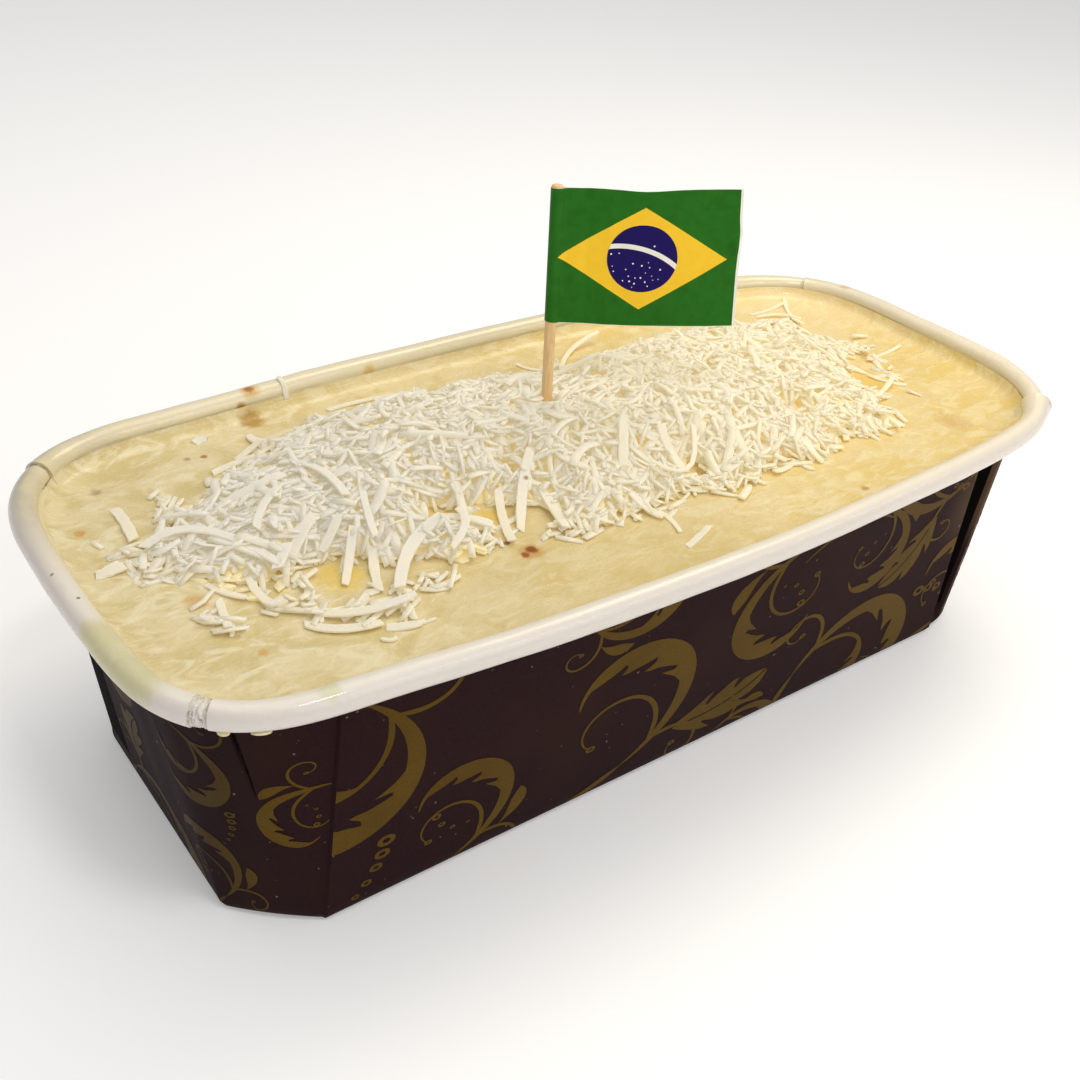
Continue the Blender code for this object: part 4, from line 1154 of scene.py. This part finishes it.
shaft = np.linspace(1.0, PICK_LENGTH - PICK_POINT, 24)
point = PICK_LENGTH - PICK_POINT * np.array([0.6, 0.3, 0.05, 0.0])
down = np.concatenate([[0.0, 0.0, 0.12, 0.3], shaft, point])
widths = [0.0, 0.8, 0.95, 1.0], np.ones(len(shaft)), [0.62, 0.33, 0.08, 0.0]
radius = PICK_RADIUS * np.concatenate(widths)
turn = np.linspace(0, 2 * np.pi, 32, endpoint=False)
round_pick = np.cos(turn)[:, None] * pick_side + np.sin(turn)[:, None] * pick_front
pick_line = PICK_FOOT + (PICK_STANDS - down)[:, None, None] * pick_up
pick_points = pick_line + radius[:, None, None] * round_pick
pick_faces = grid_faces(len(down), len(turn), True)[:, ::-1]
pick_object = piece("birch_pick", pick_points, pick_faces, birch())
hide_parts("pick")


# The flag: thin printed paper, folded round the pick and glued to itself. The back leaf reaches a
# little past the front one, so its white edge shows.
FLAG_WIDTH = 35.0
FLAG_HEIGHT = 25.0
FLAG_LEAF = 0.14
FLAG_TURN = math.radians(-31.8)
SLEEVE = PICK_RADIUS + 0.12
flag_out = np.array([math.cos(FLAG_TURN), math.sin(FLAG_TURN), 0.0])
flag_out = unit(flag_out - pick_up * (flag_out @ pick_up))
flag_across = np.cross(pick_up, flag_out)
FLAG_TOP = PICK_FOOT + pick_up * (PICK_STANDS - 0.5)


def leaf_stands_off(reach):
    """How far a leaf is from the flag's middle plane: a circle round the pick, then down to the glue.

    Past the pick the gap closes by an exponential.
    """
    round_pick = np.sqrt(np.clip(SLEEVE ** 2 - reach ** 2, 0.0, None))
    past_pick = np.clip(reach - 1.0, 0.0, None)
    return np.maximum(round_pick, FLAG_LEAF * 0.6 + 0.8 * np.exp(-past_pick / 0.5))


def uneven(reach, drop_down):
    """Moves the sheet's points to its real cut: its top edge dips and rises, its foot is not square."""
    low = drop_down / FLAG_HEIGHT
    along = np.clip(reach / FLAG_WIDTH, 0.0, 1.0)
    top = -0.5 * along ** 1.5 + 0.4 * np.exp(-((reach - 16.0) / 5.0) ** 2)
    foot = -0.3 * np.exp(-reach / 3.0) + 0.25 * np.exp(-((reach - 14.0) / 8.0) ** 2)
    return reach + 1.0 * low * along ** 3, drop_down + top * (1 - low) ** 3 + foot * low ** 3


def flag_sheet(reach, drop_down, proud):
    """A point of the flag: reach out from the pick, drop down from the top, and proud of the glue.

    A sine that grows along the flag bends it, with noise, two upright folds and a kink at its end.
    """
    free = np.clip(reach / FLAG_WIDTH, 0.0, 1.0)
    level = 1 - drop_down / FLAG_HEIGHT
    wave = 0.7 * np.sin(free * 7.0 + 1.6 * level) * free
    crumple_low = 0.16 * lattice(reach, drop_down, 7.0, 51) * np.clip(free * 3, 0, 1)
    wave = wave + 0.14 * np.exp(-((reach - 6.0) / 1.1) ** 2)
    wave = wave - 0.12 * np.exp(-((reach - 10.0) / 1.2) ** 2)
    kink = 0.5 * np.exp(-((reach - 33.6) ** 2 / 1.2 + (drop_down - 10.5) ** 2 / 2.0))
    out = (wave + crumple_low + proud - kink)[..., None]
    reach, drop_down = uneven(reach, drop_down)
    return FLAG_TOP + reach[..., None] * flag_out - drop_down[..., None] * pick_up + out * flag_across


def leaf(side, grow, name, material):
    """One printed leaf: half the sleeve round the pick, then the flat part, as a thin closed sheet."""
    turn = np.linspace(math.pi, 1.03, 16)
    past = np.linspace(4.5, FLAG_WIDTH - SLEEVE + grow[0], 62)
    flat = np.concatenate([np.linspace(0.75, 4.0, 14), past])
    reach = np.concatenate([SLEEVE * np.cos(turn), flat])
    out = side * np.concatenate([SLEEVE * np.sin(turn), leaf_stands_off(flat)])
    down = np.linspace(grow[1], FLAG_HEIGHT + grow[2], 50)
    wide, deep = np.meshgrid(reach, down)
    wide = wide + np.clip((wide - 25) / 9, 0, 1) * 0.25 * lattice(down, down * 0, 4.0, 52)[:, None]
    outside, inside = (flag_sheet(wide, deep, out + half * FLAG_LEAF) for half in (side / 2, -side / 2))
    sheet = np.concatenate([outside, inside[:, ::-1]], 1)
    rows, columns = sheet.shape[:2]
    made = piece(name, sheet, sheet_faces(rows, columns)[:, ::-side], material, white, crease=50.0)
    unprinted = np.ones(len(made.data.polygons), int)
    unprinted[: (rows - 1) * columns] = np.tile(np.arange(columns) >= columns // 2 - 1, rows - 1)
    made.data.polygons.foreach_set("material_index", unprinted)
    return made


def paper_print(name, colour, darker, painted_glow):
    """Printed paper, with a satin shine, a faint mottle, and a painted glow for the light through it.
    """
    paper = Finish(name, Roughness=0.42, Specular_IOR_Level=0.18, Emission_Strength=painted_glow)
    mottle = paper.noise(0.5, 3.0, 0.6)
    seen = paper.mix(mottle.step(0.3, 0.8), colour, darker)
    paper.feed("Base Color", seen)
    paper.feed("Emission Color", seen)
    paper.feed("Normal", paper.bump(paper.noise(0.35, 2.0), 0.12, 0.4))
    return paper.material


# The yellow and the white glow a little: painted light that comes through the paper.
green = paper_print("flag_green", (34, 111, 15), (29, 100, 12), 0.0)
yellow = paper_print("flag_yellow", (246, 200, 46), (242, 194, 40), 0.1)
blue = paper_print("flag_blue", (24, 0, 96), (20, 0, 86), 0.0)
white = paper_print("flag_white", (240, 238, 228), (228, 226, 216), 0.1)

flag_front = leaf(-1, (0.0, 0.0, 0.0), "flag_leaf_front", green)
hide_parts("paper_flag")
flag_back = leaf(1, (0.5, 0.0, 0.15), "flag_leaf_back", green)

FLAG_MIDDLE = (16.25, 12.4)
PRINT_WIDER = 1.035
MODULE = FLAG_HEIGHT / 14
RHOMBUS_HALF = (15.7, 9.5)
DISC_RADIUS = 3.5 * MODULE
BAND_CENTRE, BAND_RADII = (-2.0, -7.0), (8.0, 8.5)
STARS = 24
STAR_RADII = (0.09, 0.12, 0.16)


def patch(reach, drop_down, side, proud):
    """A flat patch of print on one leaf, as a grid that faces out of it."""
    points = flag_sheet(reach, drop_down, side * (leaf_stands_off(reach) + FLAG_LEAF / 2 + proud))
    points, faces = points.reshape(-1, 3), grid_faces(*reach.shape, False)
    a, b, c, d = np.moveaxis(points[faces], 1, 0)
    return points, turned_over(faces, np.cross(c - a, d - b) @ (flag_across * side))


def rhombus(side):
    """The yellow rhombus, as a grid across its two diagonals."""
    u, v = np.meshgrid(np.linspace(-1, 1, 91), np.linspace(-1, 1, 31))
    proud = 0.02 + 0.12 * np.exp(-(u + 1) * 8.0)
    reach = FLAG_MIDDLE[0] + u * RHOMBUS_HALF[0]
    return patch(reach, FLAG_MIDDLE[1] + v * (1 - np.abs(u)) * RHOMBUS_HALF[1], side, proud)


def disc(side, centre, radius, proud):
    """A disc, from its middle outwards."""
    r, turn = np.meshgrid(np.linspace(0.003, 1, 14), np.linspace(0, 2 * np.pi, 73), indexing="ij")
    x, y = radius * PRINT_WIDER * r * np.cos(turn), radius * r * np.sin(turn)
    return patch(centre[0] + x, centre[1] - y, side, proud)


def band(side):
    """The white band: part of a ring round a point low at the left, cut off at the disc's edge."""
    centre, ring = np.array(BAND_CENTRE) * MODULE, np.array(BAND_RADII)[:, None] * MODULE
    reach = math.hypot(*centre)
    half = np.arccos((ring ** 2 + reach ** 2 - DISC_RADIUS ** 2) / (2 * ring * reach))
    angle = math.atan2(-centre[1], -centre[0]) + half * np.linspace(1, -1, 60)
    x, y = centre[0] + ring * np.cos(angle), centre[1] + ring * np.sin(angle)
    return patch(FLAG_MIDDLE[0] + x * PRINT_WIDER, FLAG_MIDDLE[1] - y, side, 0.06)


def stars(side):
    """Small white dots, strewn over the blue below the band and one above it."""
    rng = np.random.default_rng(7)
    spots = [(2.0, 2.4)]
    while len(spots) < STARS:
        x, y = rng.uniform(-5.6, 5.6), rng.uniform(-5.4, 2.0)
        apart = min(math.hypot(x - a, y - b) for a, b in spots)
        below_band = math.hypot(x - BAND_CENTRE[0] * MODULE, y - BAND_CENTRE[1] * MODULE) < 7.6 * MODULE
        if apart > 0.7 and math.hypot(x, y) < 5.6 and below_band:
            spots.append((x, y))
    centres = [(FLAG_MIDDLE[0] + x * PRINT_WIDER, FLAG_MIDDLE[1] - y) for x, y in spots]
    return join([disc(side, centre, rng.choice(STAR_RADII), 0.06) for centre in centres])


for side, face in ((-1, "front"), (1, "back")):
    for name, shape, material in (
        ("yellow", rhombus(side), yellow),
        ("blue", disc(side, FLAG_MIDDLE, DISC_RADIUS, 0.04), blue),
        ("band", band(side), white),
        ("stars", stars(side), white),
    ):
        printed_patch = piece(f"flag_{name}_{face}", *shape, material)


# The floor, the lights and the camera. The light is soft and comes from above, a little warmer from
# the right, and the camera looks down at the front left corner.
floor = bpy.data.meshes.new("floor")
floor.from_pydata([(-3, -3, 0), (3, -3, 0), (3, 3, 0), (-3, 3, 0)], [], [(0, 1, 2, 3)])
backdrop = Finish("backdrop", Base_Color=(0.93, 0.93, 0.93, 1.0), Roughness=0.9,
                  Emission_Color=(1.0, 1.0, 1.0, 1.0), Emission_Strength=0.2)
floor.materials.append(backdrop.material)
floor_object = placed("floor", floor)

world = bpy.data.worlds.new("studio")
bpy.context.scene.world = world
bpy.context.scene.view_settings.view_transform = "Standard"
world.use_nodes = True
world.node_tree.nodes["Background"].inputs["Color"].default_value = (1.0, 1.0, 1.0, 1.0)
world.node_tree.nodes["Background"].inputs["Strength"].default_value = 0.4


def lamp(name, spot, aim, size, power, colour):
    """A rectangular area light that faces a point; its size is its width and its height."""
    light = bpy.data.lights.new(name, "AREA")
    light.shape = "RECTANGLE"
    (light.size, light.size_y), light.energy, light.color = size, power, colour
    made = placed(name, light)
    made.location = spot
    made.rotation_euler = (Vector(aim) - Vector(spot)).to_track_quat("-Z", "Y").to_euler()


lamp("top_light", (-0.02, 0.15, 0.85), (0.0, 0.0, 0.05), (0.7, 0.7), 1.55, (1.0, 0.98, 0.95))
lamp("right_light", (0.24, 0.06, 0.45), (0.08, 0.0, 0.05), (0.2, 0.2), 0.6, (1.0, 0.88, 0.68))
lamp("front_light", (0.1, -0.8, 0.5), (0.0, 0.0, 0.03), (0.6, 0.6), 1.45, (1.0, 0.98, 0.96))
lamp("strip_light", (0.42, -0.40, 0.41), (0.42, -0.05, 0.05), (0.8, 0.03), 0.5, (1.0, 0.96, 0.88))
lamp("small_light", (-0.04, -0.31, 0.70), (0.0, 0.0, 0.05), (0.12, 0.08), 0.78, (1.0, 0.97, 0.92))

CAMERA_PLACE = (-0.1440, -0.16908, 0.17752)
CAMERA_RIGHT = (0.80814, -0.58539, 0.06500)
CAMERA_UP = (0.28020, 0.47918, 0.83179)
CAMERA_BACK = (-0.51807, -0.65399, 0.55128)
CAMERA_LENS, CAMERA_SENSOR = 43.659, 36.0
camera = bpy.data.cameras.new("camera")
camera.lens, camera.sensor_width = CAMERA_LENS, CAMERA_SENSOR
camera.clip_start, camera.clip_end = 0.01, 20.0
camera_object = placed("camera", camera)
turned = Matrix((CAMERA_RIGHT, CAMERA_UP, CAMERA_BACK)).transposed().to_4x4()
camera_object.matrix_world = Matrix.Translation(CAMERA_PLACE) @ turned
bpy.context.scene.camera = camera_object
